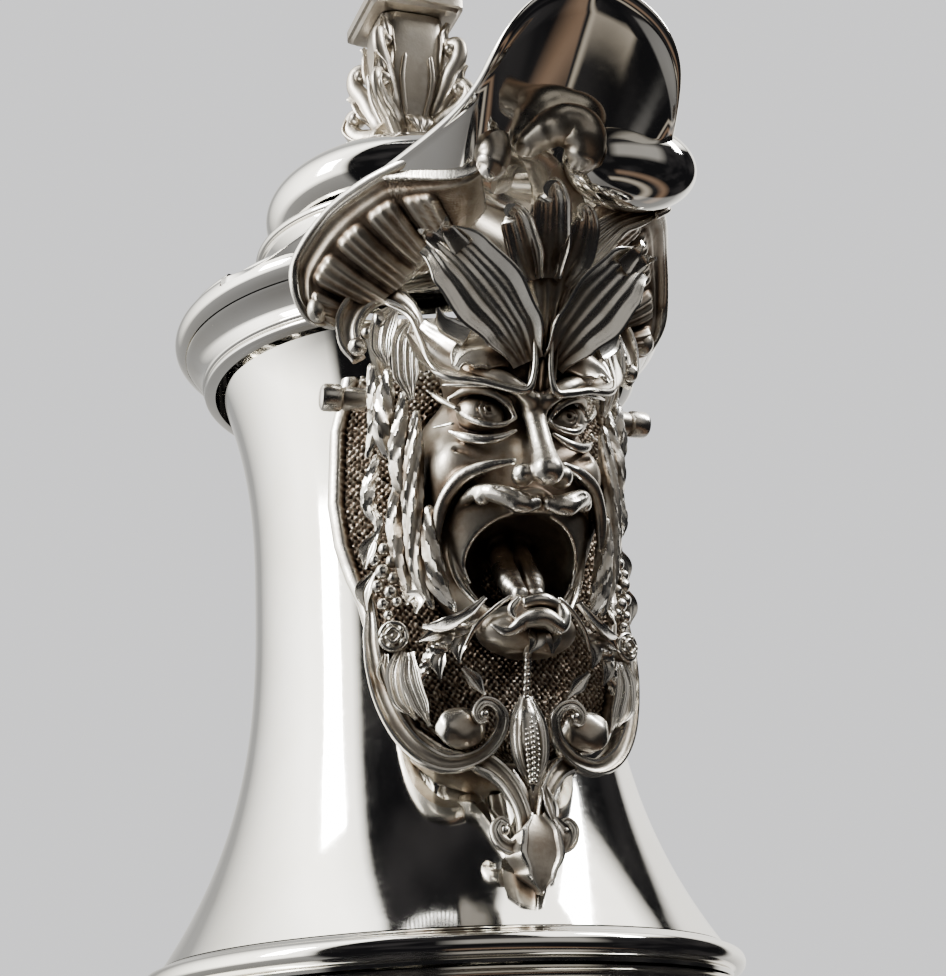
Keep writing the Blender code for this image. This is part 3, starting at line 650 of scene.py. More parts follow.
class Shapes:
    """Closed shapes gathered as one mesh, in mm."""

    def __init__(self):
        self.points = []
        self.faces = []
        self.count = 0

    def put(self, points, faces):
        points = np.asarray(points, dtype=float).reshape(-1, 3)
        self.points.append(points)
        self.faces.extend(tuple(int(k) + self.count for k in f) for f in faces)
        self.count += len(points)

    def rings(self, grid):
        """Closes a stack of point rings, shaped (rings, around, 3), into a tube with capped ends."""
        rings, around, _ = grid.shape
        start = grid[0].mean(axis=0)
        end = grid[-1].mean(axis=0)
        points = np.vstack([grid.reshape(-1, 3), [start, end]])
        faces = []
        for i in range(rings - 1):
            for j in range(around):
                k = (j + 1) % around
                faces.append((i * around + j, i * around + k, (i + 1) * around + k, (i + 1) * around + j))
        first = rings * around
        for j in range(around):
            k = (j + 1) % around
            faces.append((first, k, j))
            faces.append((first + 1, (rings - 1) * around + j, (rings - 1) * around + k))
        self.put(points, faces)

    def section(self, path, facing, profile, scale=(1.0,), lift=0.0):
        """Sweeps a closed (side, out) profile along a path, sized along it by scale; its ends are capped
        flat.
        """
        _, side, normal = frames(path, facing)
        profile = np.array(profile, dtype=float)
        size = spread(scale, len(path))
        grid = (path[:, None] + side[:, None] * (profile[None, :, 0] * size[:, None])[..., None]
                + normal[:, None] * ((profile[None, :, 1]) * size[:, None] + lift)[..., None])
        self.rings(grid)

    def tube(self, points, radii, count=40, around=18, facing=(0, -1, 0), flat=1.0, ridges=0, ridge=0.1,
             twist=0.0):
        """A tapering rod with rounded ends; ridges cut strands along it, which twist by that many turns."""
        path = smooth_path(points, count)
        radius = spread(radii, count)
        ends = np.minimum(np.arange(count), np.arange(count)[::-1]) / max(1.0, count * 0.06)
        radius = radius * np.sqrt(np.clip(1 - (1 - np.clip(ends, 0, 1)) ** 2, 0.02, 1))
        _, side, normal = frames(path, facing)
        angle = np.linspace(0, 2 * np.pi, around, endpoint=False)
        turn = twist * 2 * np.pi * np.linspace(0, 1, count)
        wave = np.ones((count, around))
        if ridges:
            wave = 1 + ridge * np.cos(ridges * (angle[None] + turn[:, None]))
        rr = radius[:, None] * wave
        grid = (path[:, None] + side[:, None] * (rr * np.cos(angle))[..., None]
                + normal[:, None] * (rr * flat * np.sin(angle))[..., None])
        self.rings(grid)

    def ball(self, centre, radii, steps=16, lumps=0.0, seed=0.0):
        radii = np.broadcast_to(np.array(radii, dtype=float), (3,))
        polar = np.linspace(0.04, np.pi - 0.04, steps)
        angle = np.linspace(0, 2 * np.pi, 2 * steps, endpoint=False)
        rise, turn = np.meshgrid(polar, angle, indexing="ij")
        bulge = 1 + lumps * np.sin(5 * turn + seed) * np.sin(rise) * np.cos(4 * rise + seed)
        ring = np.stack([np.sin(rise) * np.cos(turn), np.sin(rise) * np.sin(turn), np.cos(rise)], axis=-1)
        self.rings(ring * radii * bulge[..., None] + np.array(centre))

    def leaf(self, points, widths, facing, cup=0.0, thick=0.9, flutes=0, depth=0.25, rim=0.0, lobes=0,
             lobe=0.0, rib=0.0, count=60, across=41, bend=0.0):
        """A leaf along a spine: fluted lengthwise, cupped towards its facing side, with a thickened rim and
        a lobed outline."""
        path = smooth_path(points, count)
        tangent, side, normal = frames(path, facing)
        u = np.linspace(0, 1, count)
        v = np.linspace(-1, 1, across)
        width = spread(widths, count)
        if lobes:
            width = width * (1 - lobe + lobe * np.abs(np.sin(np.pi * lobes * u)) ** 0.6)
        edge = np.abs(v) ** 8
        relief = depth * np.cos(np.pi * flutes * v) * (1 - edge) if flutes else np.zeros(across)
        relief = relief - rib * np.exp(-(v / 0.10) ** 2)
        rolled = rim * np.exp(-((np.abs(v) - 0.93) / 0.09) ** 2)
        taper = np.clip(np.sin(np.pi * np.clip(u, 0.0, 0.97)) * 4, 0.25, 1)
        rise = cup * (v[None] ** 2) * np.clip(width / max(widths), 0.2, 1)[:, None]
        rise = rise + (relief[None] + rolled[None]) * taper[:, None] + bend * v[None]
        lag = -0.35 * lobe * width[:, None] * np.abs(v[None])
        top = (path[:, None] + side[:, None] * (width[:, None] * v[None])[..., None]
               + normal[:, None] * rise[..., None] + tangent[:, None] * lag[..., None])
        back = thick * np.sqrt(np.clip(1 - v[None, ::-1] ** 2, 0.05, 1)) + 0.15 + 0 * width[:, None]
        bottom = top[:, ::-1] - normal[:, None] * back[..., None]
        self.rings(np.concatenate([top, bottom], axis=1))

    def mirrored(self):
        other = Shapes()
        other.put(np.vstack(self.points) * np.array([-1.0, 1.0, 1.0]), [f[::-1] for f in self.faces])
        return other

    def build(self, name, mat, body, nodes=(), slot="cast_silver", sharp=60):
        item = make_mesh(name, np.vstack(self.points), self.faces, mat, body, nodes)
        bm = bmesh.new()
        bm.from_mesh(item.data)
        bmesh.ops.recalc_face_normals(bm, faces=bm.faces)
        bm.to_mesh(item.data)
        bm.free()
        item.data.shade_smooth()
        item.data.set_sharp_from_angle(angle=math.radians(sharp))
        ORNAMENT.append(item)
        return item


# ---- the face, modelled as clay ---------------------------------------------------------------------------
class Clay:
    """Signed distances in mm on a grid, built up by adding and cutting rounded forms on both sides of
    x = 0."""

    def __init__(self, low, high, step):
        self.low = np.array(low, dtype=float)
        self.step = step
        self.shape = np.ceil((np.array(high) - self.low) / step).astype(int) + 1
        self.field = np.full(self.shape, 6.0, dtype=np.float32)

    def window(self, low, high):
        first = np.clip(np.floor((np.array(low) - self.low) / self.step).astype(int), 0, self.shape)
        last = np.clip(np.ceil((np.array(high) - self.low) / self.step).astype(int) + 1, 0, self.shape)
        axes = [self.low[k] + self.step * np.arange(first[k], last[k]) for k in range(3)]
        grid = np.stack(np.meshgrid(*axes, indexing="ij"), axis=-1).astype(np.float32)
        return tuple(slice(a, b) for a, b in zip(first, last)), grid

    def blend(self, low, high, measure, soft, cut):
        """Works one form in; measure gives its distances at points whose x has been folded to be positive."""
        low = np.array(low, dtype=float) - 3.0
        high = np.array(high, dtype=float) + 3.0
        low[0] = -high[0]
        place, grid = self.window(low, high)
        grid[..., 0] = np.abs(grid[..., 0])
        form = measure(grid)
        old = self.field[place]
        if cut:
            overlap = np.clip(soft - np.abs(old + form), 0, None) / soft
            self.field[place] = np.maximum(old, -form) + overlap ** 2 * soft / 4
        else:
            overlap = np.clip(soft - np.abs(old - form), 0, None) / soft
            self.field[place] = np.minimum(old, form) - overlap ** 2 * soft / 4

    def egg(self, centre, radii, soft=1.0, cut=False, tilt=(0.0, 0.0, 0.0)):
        centre = np.array(centre, dtype=float)
        radii = np.array(radii, dtype=float)
        about_x, about_y, about_z = (Matrix.Rotation(math.radians(angle), 3, axis)
                                     for angle, axis in zip(tilt, "XYZ"))
        turn = np.array(about_z @ about_y @ about_x, dtype=np.float32)
        reach = radii.max()

        def measure(grid):
            local = (grid - centre.astype(np.float32)) @ turn
            k0 = np.linalg.norm(local / radii, axis=-1)
            k1 = np.linalg.norm(local / radii ** 2, axis=-1)
            return k0 * (k0 - 1) / np.maximum(k1, 1e-6)

        self.blend(centre - reach, centre + reach, measure, soft, cut)

    def roll(self, points, radii, soft=0.8, cut=False, count=14):
        """A rounded, tapering band along a curve."""
        path = smooth_path(points, count)
        radius = spread(radii, count)
        reach = radius.max()

        def measure(grid):
            best = np.full(grid.shape[:3], 9.0, dtype=np.float32)
            for i in range(count - 1):
                a = path[i].astype(np.float32)
                edge = (path[i + 1] - path[i]).astype(np.float32)
                rel = grid - a
                t = np.clip((rel @ edge) / float(edge @ edge), 0, 1)
                gap = np.linalg.norm(rel - t[..., None] * edge, axis=-1)
                best = np.minimum(best, gap - (radius[i] + (radius[i + 1] - radius[i]) * t))
            return best

        self.blend(path.min(axis=0) - reach, path.max(axis=0) + reach, measure, soft, cut)

    def mesh(self):
        grid = openvdb.FloatGrid()
        grid.copyFromArray(self.field)
        points, quads = grid.convertToQuads(isovalue=0.0)
        return points * self.step + self.low, quads


FACE_LOW = (-20.5, -70.0, 180.0)
FACE_HIGH = (20.5, -36.0, 242.0)
FACE_STEP = 0.33


def build_face(mat):
    """An ornamental grotesque mask: heavy brows, staring eyes, a moustache and a gaping mouth."""
    clay = Clay(FACE_LOW, FACE_HIGH, FACE_STEP)
    clay.egg((0, -42, 211), (17.5, 15, 21), 0.1)
    clay.egg((0, -40, 198), (13.6, 12.6, 15), 4.0)
    clay.egg((0, -52, 231), (14, 11, 9), 4.0)
    clay.egg((10.0, -50.5, 213), (5.5, 4.6, 5.0), 3.0)
    model_eyes(clay)
    model_nose(clay)
    model_mouth(clay)
    points, quads = clay.mesh()
    mesh = bpy.data.meshes.new("mask_face_cast")
    mesh.from_pydata([tuple(p) for p in points * MM], [], [tuple(int(k) for k in q) for q in quads])
    tidy(mesh)
    item = adopt("mask_face_cast", mesh, mat, "pitcher", ["mask_face", "mask_nose", "mask_tongue"])
    ORNAMENT.append(item)


def model_eyes(clay):
    clay.roll([(1.4, -62.0, 222.4), (5.0, -61.8, 224.6), (9.6, -59.2, 227.4), (13.8, -54.6, 229.6)],
              [1.5, 1.9, 1.7, 1.2], 1.6)
    clay.egg((7.8, -60.2, 221.6), (5.2, 3.6, 3.3), 1.2, cut=True, tilt=(0, -24, 0))
    clay.egg((7.9, -54.2, 221.8), (4.4, 3.6, 3.3), 0.2, tilt=(0, -20, 30))
    clay.roll([(3.2, -58.6, 220.2), (4.9, -59.4, 222.6), (7.8, -58.7, 224.5), (10.6, -56.2, 225.4),
               (13.0, -52.8, 225.0)], [0.4, 0.85, 0.95, 0.85, 0.4], 0.35)
    clay.roll([(4.0, -60.4, 223.4), (7.6, -60.0, 225.6), (10.8, -57.4, 226.8), (13.6, -53.6, 227.0)],
              [0.2, 0.35, 0.35, 0.2], 0.3, cut=True)
    clay.roll([(3.2, -58.6, 219.8), (5.4, -58.8, 218.5), (8.2, -57.9, 218.6), (10.8, -55.6, 220.6),
               (13.0, -52.6, 224.2)], [0.35, 0.6, 0.7, 0.6, 0.35], 0.35)
    for reach, groove in ((1.9, 0.24), (1.05, 0.22)):
        ring = [(7.5 + reach * math.cos(a), -57.75 + 0.3 * reach * math.cos(a), 221.6 + reach * math.sin(a))
                for a in np.linspace(0, 2 * math.pi, 15)]
        clay.roll(ring, [groove], 0.12, cut=True, count=22)
    clay.egg((7.5, -58.0, 221.6), (0.5, 0.9, 0.5), 0.12, cut=True)
    clay.roll([(3.6, -59.4, 217.2), (6.8, -58.6, 215.8), (10.4, -56.5, 216.2), (13.4, -53.2, 218.6)],
              [0.4, 0.9, 0.9, 0.4], 0.8)
    clay.roll([(4.6, -59.0, 214.4), (8.6, -57.2, 213.4), (12.6, -53.8, 215.0)], [0.3, 0.7, 0.3], 0.8,
              cut=True)
    clay.roll([(12.6, -54.8, 222.4), (14.6, -52.4, 224.8), (16.0, -49.8, 227.4)], [0.5, 0.6, 0.3], 0.7)
    clay.roll([(13.0, -54.0, 219.8), (15.4, -51.0, 220.0)], [0.4, 0.3], 0.6)
    clay.roll([(0.9, -62.6, 222.6), (1.5, -62.4, 226.0)], [0.4, 0.3], 0.5, cut=True)


def model_nose(clay):
    clay.roll([(0, -59.3, 223.2), (0, -60.6, 218.4), (0, -62.6, 212.8), (0, -64.0, 209.0)],
              [2.2, 1.9, 2.0, 2.5], 1.8)
    clay.egg((0, -64.2, 208.3), (2.7, 2.7, 2.4), 1.0)
    clay.egg((3.5, -61.5, 208.4), (2.0, 2.5, 2.0), 0.7)
    clay.egg((2.1, -63.2, 206.0), (1.0, 1.5, 1.0), 0.3, cut=True)
    clay.roll([(3.4, -61.6, 211.4), (5.5, -60.2, 209.8), (5.9, -59.4, 207.0)], [0.45, 0.5, 0.4], 0.4,
              cut=True)
    clay.roll([(4.6, -60.2, 211.2), (8.4, -58.0, 210.8), (12.2, -54.8, 209.6), (14.8, -51.6, 205.6),
               (15.4, -49.6, 200.0)], [0.7, 1.2, 1.35, 1.2, 0.7], 0.9)
    clay.roll([(6.0, -59.4, 208.2), (10.0, -57.0, 207.6), (13.0, -54.0, 204.8)], [0.3, 0.5, 0.4], 0.5,
              cut=True)


def model_mouth(clay):
    clay.egg((0, -57.2, 204.8), (4.0, 3.2, 2.8), 1.2)
    clay.egg((0, -52.0, 195.4), (10.4, 12.0, 8.6), 0.6, cut=True)
    clay.roll([(0, -61.4, 206.2), (0, -61.3, 203.0)], [0.5, 0.6], 0.5, cut=True)
    clay.roll([(1.4, -60.8, 203.8), (4.4, -61.0, 203.8), (7.4, -59.4, 205.4), (9.7, -56.6, 206.6),
               (11.3, -53.2, 206.2)], [1.3, 1.9, 1.7, 1.3, 0.9], 0.4)
    clay.egg((3.8, -61.2, 203.0), (2.5, 1.5, 1.4), 0.5)
    clay.egg((9.4, -56.8, 205.6), (1.5, 1.5, 1.5), 0.4)
    for lift in (-0.2, 0.9):
        clay.roll([(2.3, -62.8, 203.9 + lift), (4.8, -62.9, 204.3 + lift), (7.6, -61.1, 205.8 + lift),
                   (9.8, -58.0, 206.9 + lift)], [0.18, 0.26, 0.26, 0.15], 0.15, cut=True)
    clay.roll([(10.6, -54.8, 206.8), (11.9, -51.2, 205.2), (12.3, -48.6, 201.0), (12.0, -47.8, 196.4),
               (10.6, -48.4, 192.0), (8.6, -50.0, 188.6)], [0.8, 0.85, 0.8, 0.75, 0.7, 0.6], 0.3)
    clay.roll([(10.6, -51.6, 204.4), (10.9, -49.4, 200.8), (10.6, -48.6, 196.4), (9.4, -49.0, 192.6)],
              [0.4, 0.45, 0.42, 0.3], 0.2)
    clay.roll([(1.6, -44.0, 202.0), (1.8, -45.4, 198.0), (1.9, -48.6, 193.2), (1.5, -51.8, 190.2)],
              [1.6, 2.3, 2.5, 1.6], 1.2)
    clay.roll([(0, -47.4, 200.6), (0, -48.2, 196.4), (0, -51.6, 192.0)], [0.4, 0.5, 0.3], 0.5, cut=True)
    clay.egg((0, -50.0, 184.0), (9.0, 6.0, 4.6), 2.0)


def build_headdress(mat):
    middle = Shapes()
    middle.leaf([(0.6, -61.5, 222.6), (0.7, -64.6, 230), (0.6, -67.0, 237), (0.2, -69.8, 244),
                 (-0.6, -72.4, 249.4)], [2.5, 2.4, 2.9, 5.0, 6.6], (-0.2, -1, -0.3), cup=-1.2, thick=2.4,
                flutes=4, depth=0.2, rim=0.2)
    middle.leaf([(-2.6, -69.0, 241.5), (-5.0, -71.6, 246.6), (-7.4, -74.4, 250.6), (-9.2, -77.0, 250.2)],
                [2.0, 3.2, 3.0, 1.3], (-0.4, -1, -0.4), cup=0.7, thick=1.0, flutes=3, depth=0.14, rim=0.4)
    middle.leaf([(0.0, -69.6, 242), (-0.4, -73.0, 249.2), (-1.4, -76.8, 254.4), (-3.0, -80.2, 253.6)],
                [2.4, 3.6, 3.4, 1.6], (-0.1, -1, -0.5), cup=0.9, thick=1.0, flutes=3, depth=0.14, rim=0.4)
    middle.leaf([(2.8, -69.0, 241.5), (5.2, -71.8, 247.2), (5.6, -74.6, 251.6), (4.4, -77.0, 252.4)],
                [2.0, 3.3, 3.0, 1.3], (0.2, -1, -0.3), cup=0.7, thick=1.0, flutes=3, depth=0.14, rim=0.4)
    middle.leaf([(2.0, -63.0, 230), (4.2, -66.4, 240), (8.0, -68.6, 248.0), (13.4, -70.6, 253.4),
                 (19.0, -71.6, 255.6), (22.8, -71.0, 257.4)], [0.9, 2.2, 2.9, 3.1, 2.0, 0.4],
                (-0.2, -1, -0.5), cup=0.8, thick=1.0, flutes=4, depth=0.28, rim=0.35)
    middle.tube([(20.5, -71.6, 255.6), (23.2, -71.4, 257.2), (24.6, -69.8, 258.6)], [0.8, 0.7, 0.3])
    middle.build("headdress_palmette_cast", mat, "pitcher", ["headdress_palmette"])
    left = Shapes()
    left.leaf([(-2.2, -63.8, 228.4), (-5.4, -66.0, 233.4), (-10.4, -67.0, 239.4), (-15.4, -67.2, 245.0),
               (-19.6, -66.0, 249.0)], [2.8, 5.4, 6.8, 6.0, 3.4], (-0.45, -1, -0.35), cup=1.0, thick=1.2,
              flutes=5, depth=0.20, rim=0.6)
    left.leaf([(-15.0, -68.2, 246.4), (-17.8, -68.8, 249.6), (-18.4, -70.4, 250.2)], [1.9, 1.5, 0.4],
              (-0.3, -1, -0.6), cup=0.3, rim=0.3, count=24, across=17)
    left.leaf([(-17.0, -66.4, 246.6), (-20.4, -66.4, 249.2), (-21.8, -67.8, 249.0)], [1.9, 1.4, 0.4],
              (-0.5, -1, -0.4), cup=0.3, rim=0.3, count=24, across=17)
    left.leaf([(-5.0, -62.6, 230.4), (-9.4, -62.2, 231.0), (-13.0, -61.2, 229.8), (-14.6, -61.0, 227.6)],
              [2.6, 3.9, 3.2, 0.9], (-0.5, -1, 0.1), cup=-0.8, thick=0.9, rim=0.35, flutes=2, depth=0.12)
    left.leaf([(-12.4, -61.8, 233.0), (-15.8, -60.2, 235.6), (-17.2, -60.6, 238.4)], [2.0, 1.8, 0.4],
              (-0.6, -1, -0.1), cup=0.3, rim=0.3, count=24, across=17)
    left.leaf([(-3.0, -61.4, 226.0), (-9.0, -60.4, 228.0), (-14.6, -56.6, 231.0), (-18.4, -51.6, 238.0)],
              [2.2, 3.6, 4.2, 2.4], (-0.4, -1, 0.2), cup=1.6, thick=1.0, flutes=3, depth=0.15)
    left.tube([(-22.4, -47.6, 244.6), (-18.9, -50.0, 241.4), (-17.9, -53.0, 235.6), (-17.4, -56.0, 229.8),
               (-15.4, -58.4, 226.6), (-10.2, -61.2, 225.2), (-5.4, -62.9, 223.6), (-2.6, -63.8, 223.2),
               (-1.5, -64.8, 226.4), (-1.5, -65.8, 231.2), (-1.9, -66.8, 236.6)],
              [0.35, 0.55, 0.6, 0.62, 0.66, 0.7, 0.75, 0.8, 0.55, 0.45, 0.3], count=110, around=14)
    left.tube([(-3.4, -62.4, 222.6), (-7.4, -61.8, 224.2), (-11.6, -59.6, 225.0), (-15.4, -56.0, 226.0)],
              [0.3, 0.45, 0.45, 0.25], count=50, around=12)
    right = left.mirrored()
    left.build("brow_leaf_left_cast", mat, "pitcher", ["brow_leaf_left"])
    right.build("brow_leaf_right_cast", mat, "pitcher", ["brow_leaf_right"])


BAND = [(-1.0, -0.5), (-1.0, 0.15), (-0.85, 0.42), (-0.62, 0.42), (-0.5, 0.1), (-0.3, -0.02), (0.0, -0.06),
        (0.3, -0.02), (0.5, 0.1), (0.62, 0.42), (0.85, 0.42), (1.0, 0.15), (1.0, -0.5), (0.6, -0.75),
        (-0.6, -0.75)]


def build_ears(mat):
    left = Shapes()
    path = smooth_path([(-26.2, -42.6, 235.4), (-27.6, -41.8, 239.4), (-27.4, -41.6, 243.6),
                        (-25.4, -42.6, 247.0), (-22.2, -43.8, 248.6), (-19.2, -45.6, 247.0),
                        (-17.0, -48.0, 243.0), (-16.6, -51.0, 237.6)], 90)
    left.section(path, (-0.45, -1, -0.15), BAND, [1.3, 2.1, 2.5, 2.5, 2.1, 1.5, 0.9, 0.5])
    left.ball((-26.6, -43.6, 237.4), 1.75, lumps=0.04)
    left.ball((-24.9, -44.4, 240.0), 1.15)
    left.ball((-22.9, -45.6, 242.2), (1.5, 1.3, 1.7), lumps=0.05)
    left.leaf([(-20.2, -46.6, 244.6), (-22.2, -46.4, 241.2), (-22.8, -45.8, 237.0), (-21.8, -45.4, 233.4)],
              [1.0, 2.4, 2.2, 0.5], (-0.5, -1, 0), cup=0.6, flutes=3, depth=0.2, rim=0.25)
    left.leaf([(-18.2, -50.0, 241.0), (-19.4, -49.8, 236.6), (-19.4, -49.0, 231.0), (-18.4, -48.4, 226.0)],
              [1.0, 2.6, 2.4, 0.6], (-0.6, -1, 0), cup=0.6, flutes=4, depth=0.2, rim=0.25)
    right = left.mirrored()
    left.build("ear_scroll_left_cast", mat, "pitcher", ["ear_scroll_left"])
    right.build("ear_scroll_right_cast", mat, "pitcher", ["ear_scroll_right"])


# The collar's outer edge and the line where its fan meets the head, from its foot to its crook, on the left.
COLLAR_EDGE = [(-31.6, -37.6, 244.6), (-34.8, -37.8, 247.0), (-36.3, -38.6, 250.4), (-36.4, -40.4, 255.0),
               (-33.4, -48.2, 260.4), (-29.2, -57.1, 262.4), (-24.1, -64.6, 263.4), (-18.8, -70.4, 264.4),
               (-13.4, -74.9, 264.9)]
COLLAR_ROOT = [(-28.6, -37.2, 243.4), (-27.0, -38.2, 245.0), (-24.2, -40.6, 246.0), (-21.8, -43.6, 247.0),
               (-18.4, -47.6, 249.2), (-16.2, -51.6, 251.4), (-13.4, -56.6, 254.4), (-11.0, -61.4, 256.6),
               (-9.2, -66.0, 258.0)]
TONGUES = 6
WALL_CROWN = 1.2
LIP_GAP = 0.9


def lip_ceiling():
    """The lip's underside on the left as a search tree over its plan, with each point's height."""
    samples = [lip_surface(side, v) for side in np.linspace(-1.0, 0.0, 200) for v in np.linspace(0.0, 1.0,
                                                                                                 90)]
    tree = KDTree(len(samples))
    for i, point in enumerate(samples):
        tree.insert((point.x, point.y, 0.0), i)
    tree.balance()
    return tree, samples


def under_lip(grid, gap):
    """Lowers the points that would reach into the lip, so that they lie gap below its underside."""
    tree, samples = lip_ceiling()
    for point in grid.reshape(-1, 3):
        _, i, away = tree.find((point[0], point[1], 0.0))
        if away < 1.5:
            point[2] = min(point[2], samples[i].z - gap)
    return grid


def collar_grid(steps=300, front=64, back=26):
    edge = smooth_path(COLLAR_EDGE, steps)
    root = smooth_path(COLLAR_ROOT, steps)
    s = np.linspace(0, 1, steps)
    w = np.linspace(0, 1, front)
    along = unit(np.gradient(edge, axis=0) + np.gradient(root, axis=0))
    across = unit(root - edge)
    normal = unit(np.cross(across, along))
    normal = np.where((normal @ np.array([-0.5, -0.8, -0.4]))[:, None] < 0, -normal, normal)
    tongue = (s * TONGUES) % 1.0 * 2 - 1
    pad = np.sqrt(np.clip(1 - (np.abs(tongue) / 0.86) ** 4, 0, 1)) * (s < 5.0 / TONGUES)
    stripe = 0.13 * np.cos(tongue * np.pi * 4.0)
    start = 0.27 + 0.08 * (1 - pad)
    body = 1 / (1 + np.exp(-(w[None] - start[:, None]) * 60))
    relief = body * ((1.2 + stripe) * pad)[:, None]
    rim = 0.9 * np.exp(-((w - 0.03) / 0.045) ** 2) + 0.35 * np.exp(-((w - 0.2) / 0.04) ** 2)
    ends = np.clip(np.minimum(s, 1 - s) / 0.03, 0, 1)
    crown = WALL_CROWN * np.sin(np.pi * w)
    wall = edge[:, None] + (root - edge)[:, None] * w[None, :, None] + normal[:, None] * crown[None, :, None]
    wall = under_lip(wall, LIP_GAP)
    grid = wall + normal[:, None] * (relief * ends[:, None] + rim[None])[..., None]
    t = np.linspace(1, 0, back)[1:-1]
    rear = (edge[:, None] + (root - edge)[:, None] * t[None, :, None]
            - normal[:, None] * (2.4 * np.sin(np.pi * t) + 1.2)[None, :, None])
    return np.concatenate([grid, rear], axis=1)


def build_collars(mat):
    left = Shapes()
    left.rings(collar_grid())
    left.tube([(-28.8, -37.0, 246.4), (-31.0, -36.8, 244.6), (-34.0, -37.0, 245.8), (-36.4, -38.4, 250.2),
               (-36.5, -40.8, 255.2), (-33.4, -48.4, 260.4), (-29.2, -57.3, 262.4), (-24.1, -64.8, 263.4),
               (-18.8, -70.8, 264.3), (-14.6, -74.6, 264.6)], [0.5, 1.0, 1.1, 1.0, 0.9, 0.9, 0.95, 1.0, 1.2,
                                                               1.6], count=150)
    left.ball((-32.4, -38.6, 246.4), (2.1, 2.1, 2.6))
    right = left.mirrored()
    left.tube([(-17.0, -73.6, 264.6), (-14.4, -76.0, 264.9), (-12.2, -76.9, 263.4), (-11.6, -76.8, 260.4),
               (-12.6, -76.4, 257.6), (-13.8, -76.2, 256.6)], [1.4, 2.2, 2.9, 3.1, 2.8, 1.5], count=60,
               around=32)
    left.leaf([(-10.6, -66.0, 257.0), (-8.6, -71.4, 259.4), (-6.0, -73.6, 262.0)], [3.0, 3.4, 1.6],
              (0.2, -1, -0.8), cup=-0.6, thick=1.2, count=30)
    right.tube([(-6.0, -75.0, 262.0), (-4.6, -78.4, 263.8), (-1.4, -81.4, 265.0), (1.8, -82.6, 264.2),
                (3.0, -82.2, 261.4), (2.4, -80.8, 258.8), (1.2, -79.6, 257.4)],
               [1.8, 2.6, 3.3, 3.9, 4.1, 3.3, 1.3], count=90, around=36)
    right.leaf([(8.0, -64.0, 254.0), (3.0, -69.6, 257.6), (-1.6, -73.4, 261.6), (-5.4, -75.6, 262.6)],
               [3.4, 4.0, 3.0, 1.4], (-0.4, -1, -0.8), cup=-0.8, thick=1.2, count=40)
    left.build("fan_collar_left_cast", mat, "pitcher", ["fan_collar_left"])
    right.build("fan_collar_right_cast", mat, "pitcher", ["fan_collar_right"])
    bulb = Shapes()
    bulb.ball((14.6, -75.6, 262.4), (12.4, 7.8, 8.0), steps=96)
    bulb.leaf([(8.6, -73.0, 256.4), (14.0, -76.6, 256.8), (19.4, -76.8, 258.6), (24.8, -72.0, 262.4)],
              [1.2, 1.9, 1.7, 0.6], (-0.2, -0.7, -1), cup=0.3, rim=0.25)
    return bulb


def build_locks(mat):
    left = Shapes()
    left.tube([(-23.8, -42.4, 235.0), (-23.2, -41.8, 228.5), (-22.9, -41.0, 223.1), (-24.3, -39.6, 217.6)],
              [0.7, 1.3, 1.4, 0.5], ridges=6, ridge=0.16, twist=0.4, count=60)
    left.tube([(-21.6, -45.6, 233.0), (-22.4, -45.0, 225.8), (-22.4, -44.0, 220.6), (-21.2, -42.8, 216.4)],
              [0.7, 1.5, 1.8, 0.9], ridges=6, ridge=0.16, twist=-0.4, count=60)
    left.tube([(-19.6, -47.6, 228.0), (-20.6, -47.0, 218.0), (-20.4, -46.4, 213.0), (-18.9, -46.4, 209.2),
               (-17.6, -46.4, 211.4)], [0.6, 1.2, 1.8, 1.8, 1.0], ridges=6, ridge=0.14, twist=0.5, count=70)
    left.tube([(-22.4, -41.0, 218.4), (-23.9, -40.2, 213.6), (-24.2, -39.6, 208.4), (-22.8, -40.6, 205.4),
               (-23.4, -40.6, 201.6)], [0.5, 1.1, 1.3, 0.9, 0.4], ridges=5, ridge=0.18, twist=0.6, count=70)
    left.tube([(-17.8, -49.0, 224.0), (-18.6, -48.0, 212.0), (-18.2, -46.8, 202.0), (-17.4, -46.4, 194.0),
               (-15.6, -47.0, 188.0)], [0.8, 1.7, 2.0, 1.8, 0.7], ridges=7, ridge=0.14, twist=0.5, count=90,
              around=28)
    left.tube([(-16.6, -50.0, 206.0), (-16.2, -49.0, 199.0), (-15.0, -48.6, 192.0), (-12.4, -49.6, 187.0)],
              [0.8, 1.6, 1.7, 0.6], ridges=6, ridge=0.15, twist=-0.4, count=70)
    left.tube([(-20.4, -44.6, 212.0), (-20.8, -43.4, 204.0), (-19.6, -43.4, 197.0), (-18.6, -44.0, 191.0)],
              [0.7, 1.5, 1.5, 0.5], ridges=6, ridge=0.15, twist=0.4, count=70)
    garland(left)
    right = left.mirrored()
    left.build("hair_lock_left_cast", mat, "pitcher", ["hair_lock_left"])
    right.build("hair_lock_right_cast", mat, "pitcher", ["hair_lock_right"])


